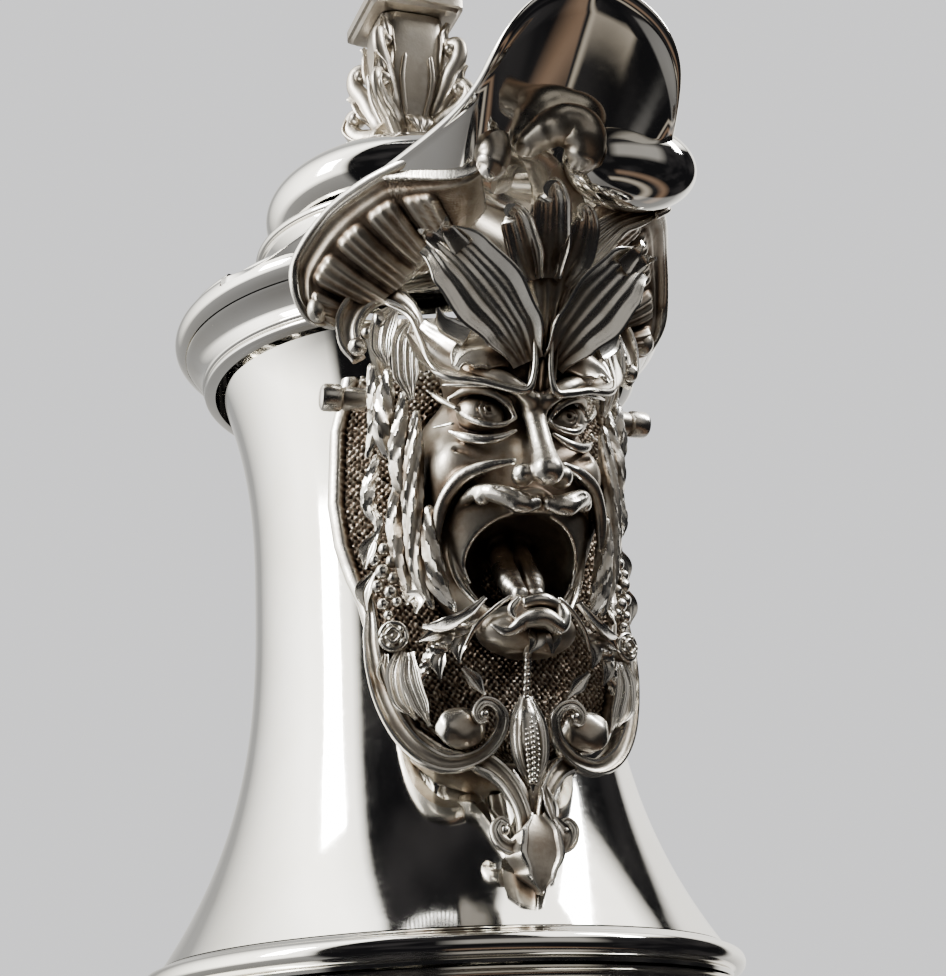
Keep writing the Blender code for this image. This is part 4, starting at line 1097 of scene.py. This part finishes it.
def garland(shapes):
    """A string of fruit and small leaves hanging from the hair to the rose."""
    for centre, radius in (((-22.2, -41.6, 200.2), 1.2), ((-23.6, -40.4, 198.4), 1.1),
                           ((-21.2, -42.4, 197.8), 1.2),
                           ((-22.8, -41.8, 196.0), 1.35), ((-21.0, -42.4, 194.8), 1.2),
                           ((-23.4, -40.8, 193.6), 1.2),
                           ((-21.6, -42.4, 192.2), 1.3), ((-22.8, -41.6, 190.2), 1.1),
                           ((-20.6, -42.8, 190.4), 1.0),
                           ((-22.0, -42.0, 188.2), 0.9)):
        shapes.ball(centre, radius, steps=12, lumps=0.05, seed=centre[2])
    for a, b, c in (((-23.0, -40.4, 203.6), (-24.6, -39.4, 200.6), (-25.0, -38.6, 197.4)),
                    ((-20.8, -42.6, 201.4), (-19.4, -43.6, 198.4), (-19.0, -43.8, 195.4)),
                    ((-23.8, -40.0, 196.4), (-25.4, -38.8, 193.2), (-25.0, -38.6, 189.8)),
                    ((-20.4, -43.0, 195.0), (-18.8, -44.2, 192.4), (-19.6, -44.6, 189.4)),
                    ((-20.0, -43.4, 191.6), (-18.0, -45.6, 190.0), (-18.6, -46.4, 187.4))):
        shapes.leaf([a, b, c], [0.5, 1.5, 0.3], (-0.5, -1, 0), cup=0.5, thick=0.6, rib=0.25, rim=0.15,
                    count=26, across=15)


def build_roses(mat):
    left = Shapes()
    centre = np.array([-21.6, -43.2, 184.0])
    out = unit(np.array([-0.42, -0.9, -0.05]))
    ex = unit(np.cross(out, np.array([0, 0, 1.0])))
    ey = np.cross(ex, out)
    left.ball(centre - out * 1.2, (2.6, 2.4, 2.6), steps=24)
    for radius, size, lift, corners in ((2.25, 0.52, 0.5, 0.0), (1.05, 0.34, 1.15, 0.16)):
        angle = np.linspace(0, 2 * np.pi, 44)
        reach = radius * (1 + corners * np.abs(np.cos(2 * angle)))
        ring = centre + out * lift + np.outer(reach * np.cos(angle), ex) + np.outer(reach * np.sin(angle), ey)
        left.tube(ring, [size], count=70, around=12)
    for k in range(5):
        a = 2 * math.pi * k / 5
        way = ex * math.cos(a) + ey * math.sin(a)
        across = ey * math.cos(a) - ex * math.sin(a)
        left.tube([centre + out * 0.6 + way * 1.5 - across * 0.7, centre + out * 1.1 + way * 1.85,
                   centre + out * 0.6 + way * 1.5 + across * 0.7], [0.25, 0.36, 0.25], count=14, around=10)
    left.ball(centre + out * 0.9, 0.5, steps=10)
    right = left.mirrored()
    left.build("rosette_left_cast", mat, "pitcher", ["rosette_left"])
    right.build("rosette_right_cast", mat, "pitcher", ["rosette_right"])


def build_swags(mat):
    """The knot under the mouth, with leaves and cords running from it to the roses."""
    knot = Shapes()
    knot.tube([(-3.4, -57.4, 186.8), (0.0, -58.2, 187.4), (3.4, -57.4, 186.6)], [1.0, 1.25, 1.0], count=40,
              around=22)
    knot.tube([(3.0, -57.8, 187.2), (3.6, -58.4, 184.6), (2.6, -58.6, 182.8), (0.0, -59.0, 184.0),
               (-2.8, -58.0, 183.8), (-5.8, -56.8, 182.0), (-8.8, -56.0, 183.2)],
              [0.8, 1.3, 1.6, 1.7, 1.3, 0.9, 0.4], count=80, around=24)
    knot.tube([(-3.6, -57.2, 188.0), (-5.0, -56.6, 186.0), (-4.4, -56.8, 184.2)], [0.5, 0.8, 0.4], count=30)
    knot.ball((0.4, -56.0, 184.6), (3.6, 2.4, 2.2), steps=20, lumps=0.05)
    knot.leaf([(-0.6, -56.0, 184.0), (-0.8, -56.6, 180.8), (-2.0, -56.0, 178.6)], [0.8, 1.6, 0.3], (0, -1, 0),
              cup=0.4, rib=0.2, count=26, across=17)
    knot.leaf([(1.0, -56.0, 184.0), (2.4, -56.0, 181.4), (2.6, -55.0, 179.0)], [0.8, 1.5, 0.3], (0, -1, 0),
              cup=0.4, rib=0.2, count=26, across=17)
    side = Shapes()
    side.tube([(-4.2, -55.4, 188.8), (-6.9, -54.4, 186.9), (-9.9, -52.4, 184.0), (-11.6, -50.6, 180.6)],
              [0.35, 0.42, 0.5, 0.3], count=50, around=12)
    side.leaf([(-8.6, -54.0, 188.6), (-11.6, -52.8, 185.8), (-15.0, -50.6, 184.2), (-18.0, -48.0, 184.6)],
              [0.4, 0.9, 1.3, 0.4], (-0.2, -1, 0.3), cup=0.4, thick=0.8, rim=0.25, count=50, across=19)
    side.tube([(-9.0, -51.6, 185.4), (-12.4, -49.8, 183.0), (-15.6, -47.6, 180.8), (-17.4, -45.8, 177.4),
               (-17.6, -45.0, 174.6)], [0.4, 1.1, 1.3, 1.0, 0.4], ridges=5, ridge=0.22, twist=1.2, count=80)
    for a, b, c in (((-11.0, -50.6, 183.4), (-12.6, -50.2, 180.6), (-12.2, -49.4, 178.2)),
                    ((-14.6, -48.4, 181.2), (-15.6, -48.2, 178.4), (-15.0, -47.4, 175.8)),
                    ((-13.0, -50.0, 183.6), (-15.8, -49.0, 183.4), (-18.4, -47.0, 182.4)),
                    ((-11.6, -49.4, 177.4), (-9.4, -49.0, 175.2), (-7.6, -48.6, 173.0))):
        side.leaf([a, b, c], [0.5, 1.3, 0.25], (-0.3, -1, 0), cup=0.4, thick=0.6, rib=0.25, rim=0.15,
                  count=26, across=15)
    whole = side.mirrored()
    knot.put(np.vstack(side.points), side.faces)
    knot.put(np.vstack(whole.points), whole.faces)
    knot.build("chin_knot_cast", mat, "pitcher", ["chin_knot"])


def build_husks(mat):
    left = Shapes()
    for path, widths in (([(-20.4, -43.2, 181.6), (-21.4, -43.0, 177.4), (-20.8, -43.4, 173.0),
                           (-18.6, -44.4, 169.4)],
                          [0.9, 1.8, 1.7, 0.3]),
                         ([(-19.4, -44.4, 181.0), (-19.4, -44.8, 176.4), (-18.2, -45.2, 172.2),
                           (-16.6, -45.6, 168.0)],
                          [0.9, 1.7, 1.5, 0.3]),
                         ([(-22.6, -41.2, 181.4), (-23.0, -41.0, 178.2), (-22.6, -41.4, 175.0)],
                          [0.6, 1.2, 0.3])):
        left.leaf(path, widths, (-0.45, -1, 0.05), cup=0.5, thick=0.8, flutes=3, depth=0.2, rim=0.25,
                  count=44, across=25)
    right = left.mirrored()
    left.build("husk_drop_left_cast", mat, "pitcher", ["husk_drop_left"])
    right.build("husk_drop_right_cast", mat, "pitcher", ["husk_drop_right"])


def build_scrolls(mat):
    big = Shapes()
    path = [(-24.6, -37.6, 196.0), (-24.2, -38.6, 189.3), (-24.3, -39.4, 182.7), (-23.4, -40.4, 175.5),
            (-21.4, -42.0, 169.1), (-18.2, -43.8, 164.3), (-13.8, -45.3, 161.8), (-9.0, -46.8, 162.6),
            (-5.8, -48.2, 165.4), (-4.7, -49.2, 168.8), (-6.0, -49.7, 171.0), (-8.2, -49.9, 171.5),
            (-9.7, -49.9, 169.9), (-9.2, -49.7, 168.3), (-8.0, -49.7, 168.6)]
    facing = [(-0.7, -1, 0), (-0.7, -1, 0), (-0.6, -1, 0), (-0.4, -1, 0), (-0.2, -1, 0), (-0.1, -1, 0),
              (0, -1, 0)]
    deep = [(x, y * 2.0 if y < -0.4 else y) for x, y in BAND]
    big.section(smooth_path(path, 200), facing, deep, [0.7, 1.0, 1.5, 1.75, 1.85, 1.85, 1.8, 1.5, 1.25, 1.05,
                                                       0.9, 0.5])
    eye = Shapes()
    eye.ball((-8.3, -49.6, 169.4), (0.85, 0.9, 0.85), steps=14)
    eye.ball((-11.4, -46.6, 167.6), (4.4, 2.2, 3.6), steps=26, lumps=0.06)
    small = Shapes()
    path = [(-10.6, -45.6, 163.0), (-6.4, -46.8, 161.2), (-3.6, -47.9, 157.9), (-1.9, -48.6, 153.6),
            (-1.7, -48.9, 149.6), (-3.6, -49.1, 147.2), (-6.1, -49.1, 147.9), (-7.1, -49.1, 150.1),
            (-6.1, -49.1, 151.7), (-4.8, -49.1, 151.1)]
    small.section(smooth_path(path, 150), (-0.1, -1, 0), deep, [1.1, 1.9, 1.7, 1.5, 1.35, 1.3, 1.25, 1.1, 0.9,
                                                                0.5])
    small.ball((-5.4, -49.0, 150.0), (0.8, 0.8, 0.8), steps=12)
    small.leaf([(-3.6, -47.4, 160.4), (-1.9, -47.6, 157.0), (-0.9, -47.8, 152.0)], [1.2, 1.6, 0.6],
               (0, -1, 0), cup=-0.5, thick=2.4, count=30, across=15)
    for shapes, name in ((big, "c_scroll"), (eye, "c_scroll_eye"), (small, "s_scroll")):
        right = shapes.mirrored()
        shapes.build(name + "_left_cast", mat, "pitcher", [name + "_left"], sharp=45)
        right.build(name + "_right_cast", mat, "pitcher", [name + "_right"], sharp=45)


def build_pod(mat):
    pod = Shapes()
    pod.tube([(-0.2, -48.6, 173.4), (-0.4, -49.2, 169.0), (-0.3, -49.4, 164.0), (-0.1, -49.2, 159.6),
              (0.0, -48.9, 156.4)], [0.7, 1.9, 2.1, 1.3, 0.3], count=60, around=30, flat=0.8)
    for row, offset in ((-1, -0.95), (0, 0.0), (1, 0.95)):
        for k in range(15):
            z = 170.6 - 0.88 * k - 0.3 * abs(row)
            swell = math.sin(math.pi * (171.6 - z) / 15.5)
            pod.ball((offset * swell - 0.25, -49.5 - 1.2 * swell - 0.25 * (row == 0), z), 0.42, steps=8)
    for sign in (-1, 1):
        pod.leaf([(sign * 0.8 - 0.2, -48.8, 173.0), (sign * 2.3 - 0.3, -49.6, 168.0),
                  (sign * 2.4 - 0.3, -49.8, 162.8), (sign * 0.7, -49.2, 157.4)], [0.4, 1.0, 0.9, 0.2],
                 (sign * 0.5, -1, 0), cup=0.3, rim=0.2, flutes=2, depth=0.12, count=44, across=17)
    pod.tube([(-1.6, -54.0, 182.0), (-0.8, -52.0, 178.6), (-0.4, -50.0, 175.4), (-0.3, -48.8, 172.6)],
             [0.6, 0.65, 0.6, 0.5], count=44, ridges=4, ridge=0.2, twist=2.0)
    for k in range(8):
        pod.ball((-1.0 + 0.1 * k, -53.3 + 0.62 * k, 180.6 - 1.12 * k), 0.62, steps=8)
    pod.build("pod_pendant_cast", mat, "pitcher", ["pod_pendant"])


def build_drop(mat):
    drop = Shapes()
    path = smooth_path([(0.4, -49.4, 152.6), (0.4, -50.6, 149.4), (0.2, -51.0, 145.6), (-0.1, -50.9, 142.0),
                        (-0.2, -50.4, 139.2)], 60)
    _, side, normal = frames(path, (0, -1, 0))
    width = spread([1.4, 3.6, 4.1, 2.6, 0.2], 60)
    profile = [(-1.0, -0.4), (-0.97, 0.35), (-0.86, 0.6), (-0.72, 0.55), (-0.62, 0.15), (-0.3, -0.05),
               (0.0, -0.1), (0.3, -0.05), (0.62, 0.15), (0.72, 0.55), (0.86, 0.6), (0.97, 0.35), (1.0, -0.4),
               (1.12, -1.6), (1.18, -4.6), (-1.18, -4.6), (-1.12, -1.6)]
    grid = np.stack([path + side * (width * x)[:, None] + normal * y for x, y in profile], axis=1)
    drop.rings(grid)
    drop.leaf([(3.4, -49.6, 152.0), (5.2, -49.6, 149.0), (4.6, -49.4, 146.0)], [0.6, 1.2, 0.3], (0.3, -1, 0),
              cup=0.4, rim=0.2, count=26, across=15)
    drop.leaf([(2.2, -48.4, 157.6), (3.0, -49.0, 154.0), (3.6, -49.6, 150.4)], [0.6, 1.3, 0.5], (0.2, -1, 0),
              cup=0.4, flutes=2, depth=0.15, rim=0.2, count=30, across=15)
    drop.build("drop_boss_cast", mat, "pitcher", ["drop_boss"], sharp=35)


def build_backplate(mat):
    """The granulated ground behind the mask, with a flat border strip."""
    rows, columns = 290, 260
    z = np.linspace(236.0, 162.5, rows)
    outline = np.interp(-z, [-236, -226, -212, -204, -197, -192, -185, -176, -169, -165, -162.5],
                        [26.5, 28.6, 29.2, 28.4, 26.8, 25.2, 24.0, 22.6, 19.8, 15.0, 6.0])
    stand = np.interp(-z, [-236, -200, -180, -160.5], [41.3, 41.3, 42.8, 44.6])
    reach = np.arcsin(np.clip(outline / stand, 0, 1))
    a = np.linspace(-1, 1, columns)
    edge = (1 - np.abs(a))[None] * outline[:, None]
    border = 1 / (1 + np.exp((edge - 2.7) * 6))
    rng = np.random.default_rng(7)
    grain = rng.random((rows, columns))
    grain = sum(np.roll(np.roll(grain, i, 0), j, 1) for i in (0, 1) for j in (0, 1)) / 4
    down = np.cos(np.arange(rows)[:, None] * 2 * np.pi / 5.2)
    dots = down * np.cos(np.arange(columns)[None] * 2 * np.pi / 6.4)
    ground = -0.5 + 0.35 * dots + 0.9 * (grain - 0.5)
    rise = border * 0.35 + (1 - border) * ground - 0.5 * np.exp(-((edge - 3.1) / 0.35) ** 2)
    angle = reach[:, None] * a[None]
    radius = stand[:, None] + rise - 1.2 * np.exp(-edge / 0.5)
    front = np.stack([radius * np.sin(angle), -radius * np.cos(angle), np.tile(z[:, None], (1, columns))],
                     axis=-1)
    inner = np.asarray(neck_radius(z)) + 0.1
    few = np.linspace(1, -1, 40)
    angle = reach[:, None] * few[None]
    back = np.stack([inner[:, None] * np.sin(angle), -inner[:, None] * np.cos(angle),
                     np.tile(z[:, None], (1, 40))], axis=-1)
    plate = Shapes()
    plate.rings(np.concatenate([front, back], axis=1))
    plate.build("mask_backplate_cast", mat, "pitcher", ["mask_backplate"], sharp=50)


def build_pegs(mat):
    left = Shapes()
    tip, root = np.array([-32.2, -37.6, 229.6]), np.array([-24.0, -38.4, 229.4])
    axis = unit(tip - root)
    across = unit(np.cross(axis, (0, 0, 1.0)))
    up = np.cross(across, axis)
    rings = []
    for t, radius in ((0, 2.2), (0.45, 2.2), (0.5, 2.0), (0.55, 2.45), (0.6, 2.55), (0.9, 2.55),
                      (0.96, 2.3), (1.0, 1.6), (1.01, 0.8)):
        centre = root + (tip - root) * t
        angle = np.linspace(0, 2 * np.pi, 40, endpoint=False)
        rings.append(centre + np.outer(radius * np.cos(angle), across) + np.outer(radius * np.sin(angle), up))
    left.rings(np.array(rings))
    right = left.mirrored()
    left.build("side_peg_left_cast", mat, "pitcher", ["side_peg_left"], sharp=30)
    right.build("side_peg_right_cast", mat, "pitcher", ["side_peg_right"], sharp=30)


# ---- finial, thumbpiece and handle ------------------------------------------------------------------------
def square_ring(half, z, round_off=0.18, count=12, turn=0.0):
    angle = np.linspace(0, 2 * np.pi, 4 * count, endpoint=False)
    power = 2.0 / max(round_off, 0.05)
    c, s = np.cos(angle), np.sin(angle)
    reach = half / (np.abs(c) ** power + np.abs(s) ** power) ** (1 / power)
    x, y = reach * c, reach * s
    a = math.radians(turn)
    return np.stack([x * math.cos(a) - y * math.sin(a), x * math.sin(a) + y * math.cos(a),
                     np.full(len(angle), float(z))], axis=1)


def turn_about_z(points, degrees):
    a = math.radians(degrees)
    spin = np.array([[math.cos(a), -math.sin(a), 0], [math.sin(a), math.cos(a), 0], [0, 0, 1.0]])
    return np.asarray(points, dtype=float) @ spin.T


FINIAL_BEADS = 16


def build_finial(mat):
    stem = Shapes()
    profile = [(300.9, 5.6), (301.6, 6.0), (302.4, 5.0), (303.4, 3.6), (306, 3.5), (310, 4.4), (315, 5.8),
               (321, 7.0), (327, 7.6), (331, 7.5), (333.9, 7.2)]
    path = smooth_path([(0, r, z) for z, r in profile], 60)
    stem.rings(np.array([square_ring(p[1], p[2], 0.45) for p in path]))
    for k in range(4):
        for tip in (-1, 1):
            base = [(tip * 1.0, -3.6, 306.5), (tip * 2.4, -5.2, 311.5), (tip * 3.4, -6.9, 317.5),
                    (tip * 2.8, -7.9, 323.5)]
            stem.tube(turn_about_z(base, 90 * k), [0.4, 0.6, 0.7, 0.5], count=40, around=12)
        leaf = [(0, -3.4, 309.4), (0, -6.2, 309.6), (0, -8.6, 307.4), (0, -8.8, 304.2)]
        toward = turn_about_z([(0, -0.7, 1.0), (0, -1, 0.3)], 90 * k)
        stem.leaf(turn_about_z(leaf, 90 * k), [1.2, 2.8, 2.6, 0.8], toward, cup=-0.5, thick=0.9, flutes=3,
                  depth=0.2, rim=0.25, count=36, across=23)
    for k in range(FINIAL_BEADS):
        a = 2 * math.pi * k / FINIAL_BEADS
        stem.ball((6.3 * math.cos(a), 6.3 * math.sin(a), 302.0), 0.75, steps=8)
    stem.build("finial_stem_cast", mat, "lid", ["finial_stem"], sharp=40)
    for k, angle in enumerate(finial_directions()):
        arm = Shapes()
        arm_scrolls(arm)
        turned_arm = Shapes()
        turned_arm.put(turn_about_z(np.vstack(arm.points), angle), arm.faces)
        turned_arm.build("finial_arm_%d_cast" % (k + 1), mat, "lid", ["finial_arm_%d" % (k + 1)], sharp=45)
    cap = Shapes()
    slab = [(334.2, 8.4), (334.5, 9.4), (335.2, 9.9), (335.4, 10.5), (337.3, 10.5), (337.6, 9.7),
            (338.2, 8.8)]
    cap.rings(np.array([square_ring(r, z, 0.14, count=20) for z, r in slab]))
    cap.build("finial_abacus_cast", mat, "lid", ["finial_abacus"], sharp=30)
    knob = Shapes()
    block = [(338.5, 5.4), (339.2, 6.3), (339.9, 6.3), (340.4, 5.4), (341.4, 5.0), (342.6, 5.3), (343.2, 6.3),
             (344.0, 6.3), (344.5, 5.2), (344.9, 2.5)]
    knob.rings(np.array([square_ring(r, z, 0.3, count=16) for z, r in block]))
    knob.build("finial_knob_cast", mat, "lid", ["finial_knob"], sharp=30)


def finial_directions():
    """How far each arm of the finial is turned from the spout's direction, from where its CAD node lies."""
    turns = []
    for k in range(4):
        low, high = box_mm("finial_arm_%d" % (k + 1))
        middle = (low + high) / 2
        turns.append(math.degrees(math.atan2(middle.x, -middle.y)))
    return turns


def arm_scrolls(arm):
    """One scrolled bracket of the finial, standing at -Y before it is turned into place."""
    lower = [(0, -3.8, 302.6), (0, -5.0, 306.0), (0, -8.4, 309.2), (0, -12.2, 311.0), (0, -14.4, 313.8),
             (0, -13.6, 316.6), (0, -11.6, 316.8), (0, -11.2, 315.0)]
    arm.tube(lower, [2.0, 2.6, 2.6, 2.3, 2.0, 1.7, 1.3, 0.6], count=90, around=24, facing=(1, 0, 0), flat=0.7)
    edge = [(0, p[1] - 0.9, p[2] - 0.9) for p in lower[1:6]]
    for side in (-1, 1):
        arm.tube([(side * 1.25, y, z) for _, y, z in edge], [0.3, 0.42, 0.42, 0.4, 0.25], count=50, around=10)
    arm.ball((0, -12.4, 315.4), (2.3, 1.7, 1.7), steps=20)
    upper = [(0, -5.4, 310.0), (0, -8.2, 314.6), (0, -10.4, 319.6), (0, -12.6, 323.4), (0, -12.6, 326.6),
             (0, -10.4, 327.4), (0, -9.4, 325.8)]
    arm.tube(upper, [1.4, 2.1, 2.2, 2.1, 1.9, 1.6, 0.9], count=80, around=24, facing=(1, 0, 0), flat=0.75)
    arm.ball((0, -10.9, 325.6), (2.1, 1.5, 1.5), steps=18)
    arm.leaf([(0, -8.0, 312.4), (0, -11.0, 315.4), (0, -13.0, 319.6), (0, -14.6, 321.0)],
             [1.0, 2.0, 1.7, 0.4], (0, -1, 0.6), cup=0.4, flutes=2, depth=0.18, rim=0.2, count=36, across=19)
    arm.leaf([(0, -8.2, 320.0), (0, -9.2, 325.4), (0, -9.4, 330.0), (0, -10.8, 332.4)], [1.2, 2.2, 2.0, 0.4],
             (0, -1, 0.2), cup=0.4, flutes=2, depth=0.18, rim=0.2, count=36, across=19)


def build_thumbpiece(mat):
    thumb = Shapes()
    thumb.leaf([(0, 50.9, 272.2), (0, 51.0, 277.0), (0, 53.4, 283.0), (0, 57.0, 287.2), (0, 60.0, 287.6)],
               [2.6, 2.8, 4.2, 3.8, 0.8], (0, -1, 0.3), cup=0.6, thick=2.0, flutes=4, depth=0.3, rim=0.3,
               count=60)
    thumb.build("thumbpiece_cast", mat, "lid", ["thumbpiece"])


def handle_spine(count):
    upper = bezier_points((0, 57, 243), (0, 66, 262), (0, 89, 262), (0, 88, 236), 40)
    lower = bezier_points((0, 88, 236), (0, 87, 200), (0, 76, 168), (0, 72.5, 134), 60)
    return smooth_path(upper + lower[1:], count)


GRIP_RADIUS = 4.2
GRIP_SWELL = 1.4
GRIP_BEADS = 46
MOUNT_PETALS = 9


def build_handle(mat):
    grip = Shapes()
    count, around = 260, 48
    path = handle_spine(count)
    f = np.linspace(0, 1, count)
    radius = GRIP_RADIUS + GRIP_SWELL * np.sin(np.pi * f)
    _, side, normal = frames(path, (0, 1, 0.01))
    angle = np.linspace(0, 2 * np.pi, around, endpoint=False)
    panel = 1 - 0.10 * np.exp(-((np.abs(np.cos(angle)) - 1) / 0.12) ** 2)
    spine = 0.07 * np.exp(-((angle - np.pi / 2) / 0.25) ** 2)
    row = np.exp(-((angle - np.pi / 2) / 0.2) ** 2)
    beads = 0.05 * np.cos(2 * np.pi * GRIP_BEADS * f)[:, None] * row[None]
    reach = radius[:, None] * (panel + spine)[None] + radius[:, None] * beads
    grip.rings(path[:, None] + side[:, None] * (reach * np.cos(angle))[..., None]
               + normal[:, None] * (reach * np.sin(angle))[..., None])
    grip.build("handle_grip_cast", mat, "pitcher", ["handle_grip"])
    build_handle_leaf(mat)
    for name, centre, radii in (("handle_upper_mount", (0, 46.5, 238), (9, 11.5, 10)),
                                ("handle_lower_mount", (0, 68.5, 122), (9.5, 12, 10.5))):
        build_handle_mount(mat, name, np.array(centre), np.array(radii))


def build_handle_leaf(mat):
    back = Shapes()
    low, high = box_mm("handle_back_leaf")
    path = handle_spine(400)
    _, _, normal = frames(path, (0, 1, 0.01))
    chosen = np.where((path[:, 2] > low.z + 2) & (path[:, 1] > 76) & (path[:, 2] < high.z - 1))[0]
    spine = path[chosen] + normal[chosen] * 5.6
    spine[:, 1] = np.minimum(spine[:, 1], high.y - 1.3)
    facing = [normal[i] for i in np.linspace(chosen[0], chosen[-1], 7).astype(int)]
    picked = spine[np.linspace(0, len(spine) - 1, 9).astype(int)]
    back.leaf(picked, [2.0, 4.6, 5.4, 5.2, 4.4, 3.0, 0.6], facing, cup=-1.6, thick=1.6, flutes=5, depth=0.32,
              rim=0.4, lobes=5, lobe=0.22, rib=0.3, count=150, across=49)
    back.build("handle_back_leaf_cast", mat, "pitcher", ["handle_back_leaf"])


def build_handle_mount(mat, name, centre, radii):
    mount = Shapes()
    mount.ball(centre, radii * 0.9, steps=36, lumps=0.02)
    for k in range(MOUNT_PETALS):
        a = 2 * math.pi * k / MOUNT_PETALS
        way = np.array([math.sin(a), 0, math.cos(a)])
        tip = centre + way * radii
        start = centre + np.array([0, radii[1] * 0.88, 0]) + way * radii * 0.15
        middle = centre + np.array([0, radii[1] * 0.66, 0]) + way * radii * 0.72
        mount.leaf([start, middle, tip], [1.2, 3.0, 0.7], way * 0.6 + np.array([0, 1.0, 0]), cup=0.4,
                   thick=1.2, flutes=2, depth=0.2, rim=0.25, rib=0.2, count=36, across=21)
    mount.build(name + "_cast", mat, "pitcher", [name])


# ---- tarnish in the hollows -------------------------------------------------------------------------------
CELL = 0.55
FIELD_LOW = np.array([-44.0, -92.0, 128.0])
FIELD_HIGH = np.array([44.0, -20.0, 290.0])


def filled_cells(items):
    """Which cells of the mount's space hold metal."""
    points, quads, tris, count = [], [], [], 0
    for item in items:
        mesh = item.data
        co = np.empty(len(mesh.vertices) * 3, dtype=np.float32)
        mesh.vertices.foreach_get("co", co)
        points.append(co.reshape(-1, 3) / MM)
        size = np.empty(len(mesh.polygons), dtype=np.int32)
        first = np.empty(len(mesh.polygons), dtype=np.int32)
        mesh.polygons.foreach_get("loop_total", size)
        mesh.polygons.foreach_get("loop_start", first)
        corner = np.empty(len(mesh.loops), dtype=np.int32)
        mesh.loops.foreach_get("vertex_index", corner)
        quads.append(corner[first[size == 4][:, None] + np.arange(4)] + count)
        tris.append(corner[first[size == 3][:, None] + np.arange(3)] + count)
        count += len(mesh.vertices)
    spacing = openvdb.createLinearTransform(voxelSize=CELL)
    grid = openvdb.FloatGrid.createLevelSetFromPolygons(
        np.vstack(points).astype(np.float32), triangles=np.vstack(tris).astype(np.uint32),
        quads=np.vstack(quads).astype(np.uint32), transform=spacing, halfWidth=2.0)
    shape = np.ceil((FIELD_HIGH - FIELD_LOW) / CELL).astype(int)
    values = np.zeros(shape, dtype=np.float32)
    grid.copyToArray(values, ijk=tuple(int(k) for k in np.round(FIELD_LOW / CELL)))
    solid = (values < 0).astype(np.float32)
    axes = [FIELD_LOW[k] + CELL * np.arange(shape[k]) for k in range(3)]
    radius = np.hypot(axes[0][:, None, None], axes[1][None, :, None])
    body = (radius < neck_radius(axes[2])[None, None, :]) & (axes[2] < NECK_HIGH)[None, None, :]
    return np.maximum(solid, body.astype(np.float32))


def blurred(field, width):
    for axis in range(3):
        for _ in range(2):
            total = np.cumsum(field, axis=axis)
            half = width // 2
            total = np.moveaxis(total, axis, 0)
            padded = np.concatenate([np.zeros((half + 1,) + total.shape[1:], np.float32), total,
                                     np.repeat(total[-1:], half, axis=0)])
            field = np.moveaxis((padded[width:] - padded[:-width]) / width, 0, axis)
    return field


def paint_cavities():
    """Gives each vertex of the mount a cavity value: 0.5 on a flat, more in a hollow, less on a ridge."""
    solid = filled_cells(ORNAMENT)
    fine = blurred(solid, 3)
    broad = blurred(solid, 9)
    limit = np.array(solid.shape) - 2
    for item in ORNAMENT:
        mesh = item.data
        co = np.empty(len(mesh.vertices) * 3, dtype=np.float32)
        mesh.vertices.foreach_get("co", co)
        spot = np.clip((co.reshape(-1, 3) / MM - FIELD_LOW) / CELL, 0, limit)
        base = spot.astype(int)
        part = spot - base
        value = 0.0
        for corner in range(8):
            step = np.array([corner & 1, (corner >> 1) & 1, (corner >> 2) & 1])
            weight = np.prod(np.where(step, part, 1 - part), axis=1)
            i, j, k = (base + step).T
            value = value + weight * (0.45 * fine[i, j, k] + 0.55 * broad[i, j, k])
        inside = ((co.reshape(-1, 3) / MM > FIELD_LOW) & (co.reshape(-1, 3) / MM < FIELD_HIGH)).all(axis=1)
        value = np.where(inside, value, 0.45)
        layer = mesh.attributes.new("cavity", "FLOAT", "POINT")
        layer.data.foreach_set("value", value.astype(np.float32))


# ---- everything -------------------------------------------------------------------------------------------
def dress_cad(materials):
    """Gives the CAD nodes that stay a detailed material."""
    chosen = {"hinge_knuckle_left": "sheet", "hinge_knuckle_right": "sheet", "lid_hinge_leaf": "sheet",
              "hinge_pin": "pin"}
    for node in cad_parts:
        item = bpy.data.objects.get(node)
        if item is None:
            continue
        mat = materials[chosen.get(node, "cast")]
        item.data.materials.clear()
        item.data.materials.append(mat)


def main():
    materials = {"sheet": polished_silver(), "cast": cast_silver(), "pin": pin_silver()}
    sheet, cast = materials["sheet"], materials["cast"]
    place_camera()
    build_studio()
    dress_cad(materials)
    for build in (build_neck, build_shoulder, build_bowl, build_foot, build_rim, build_lip, build_lid):
        build(sheet)
    for build in (build_face, build_headdress, build_ears, build_locks, build_roses, build_swags, build_husks,
                  build_scrolls, build_pod, build_drop, build_backplate, build_pegs, build_finial,
                  build_thumbpiece, build_handle):
        build(cast)
    bulb = build_collars(cast)
    bulb.build("collar_bulb_cast", sheet, "pitcher", slot="polished_silver")
    paint_cavities()


main()
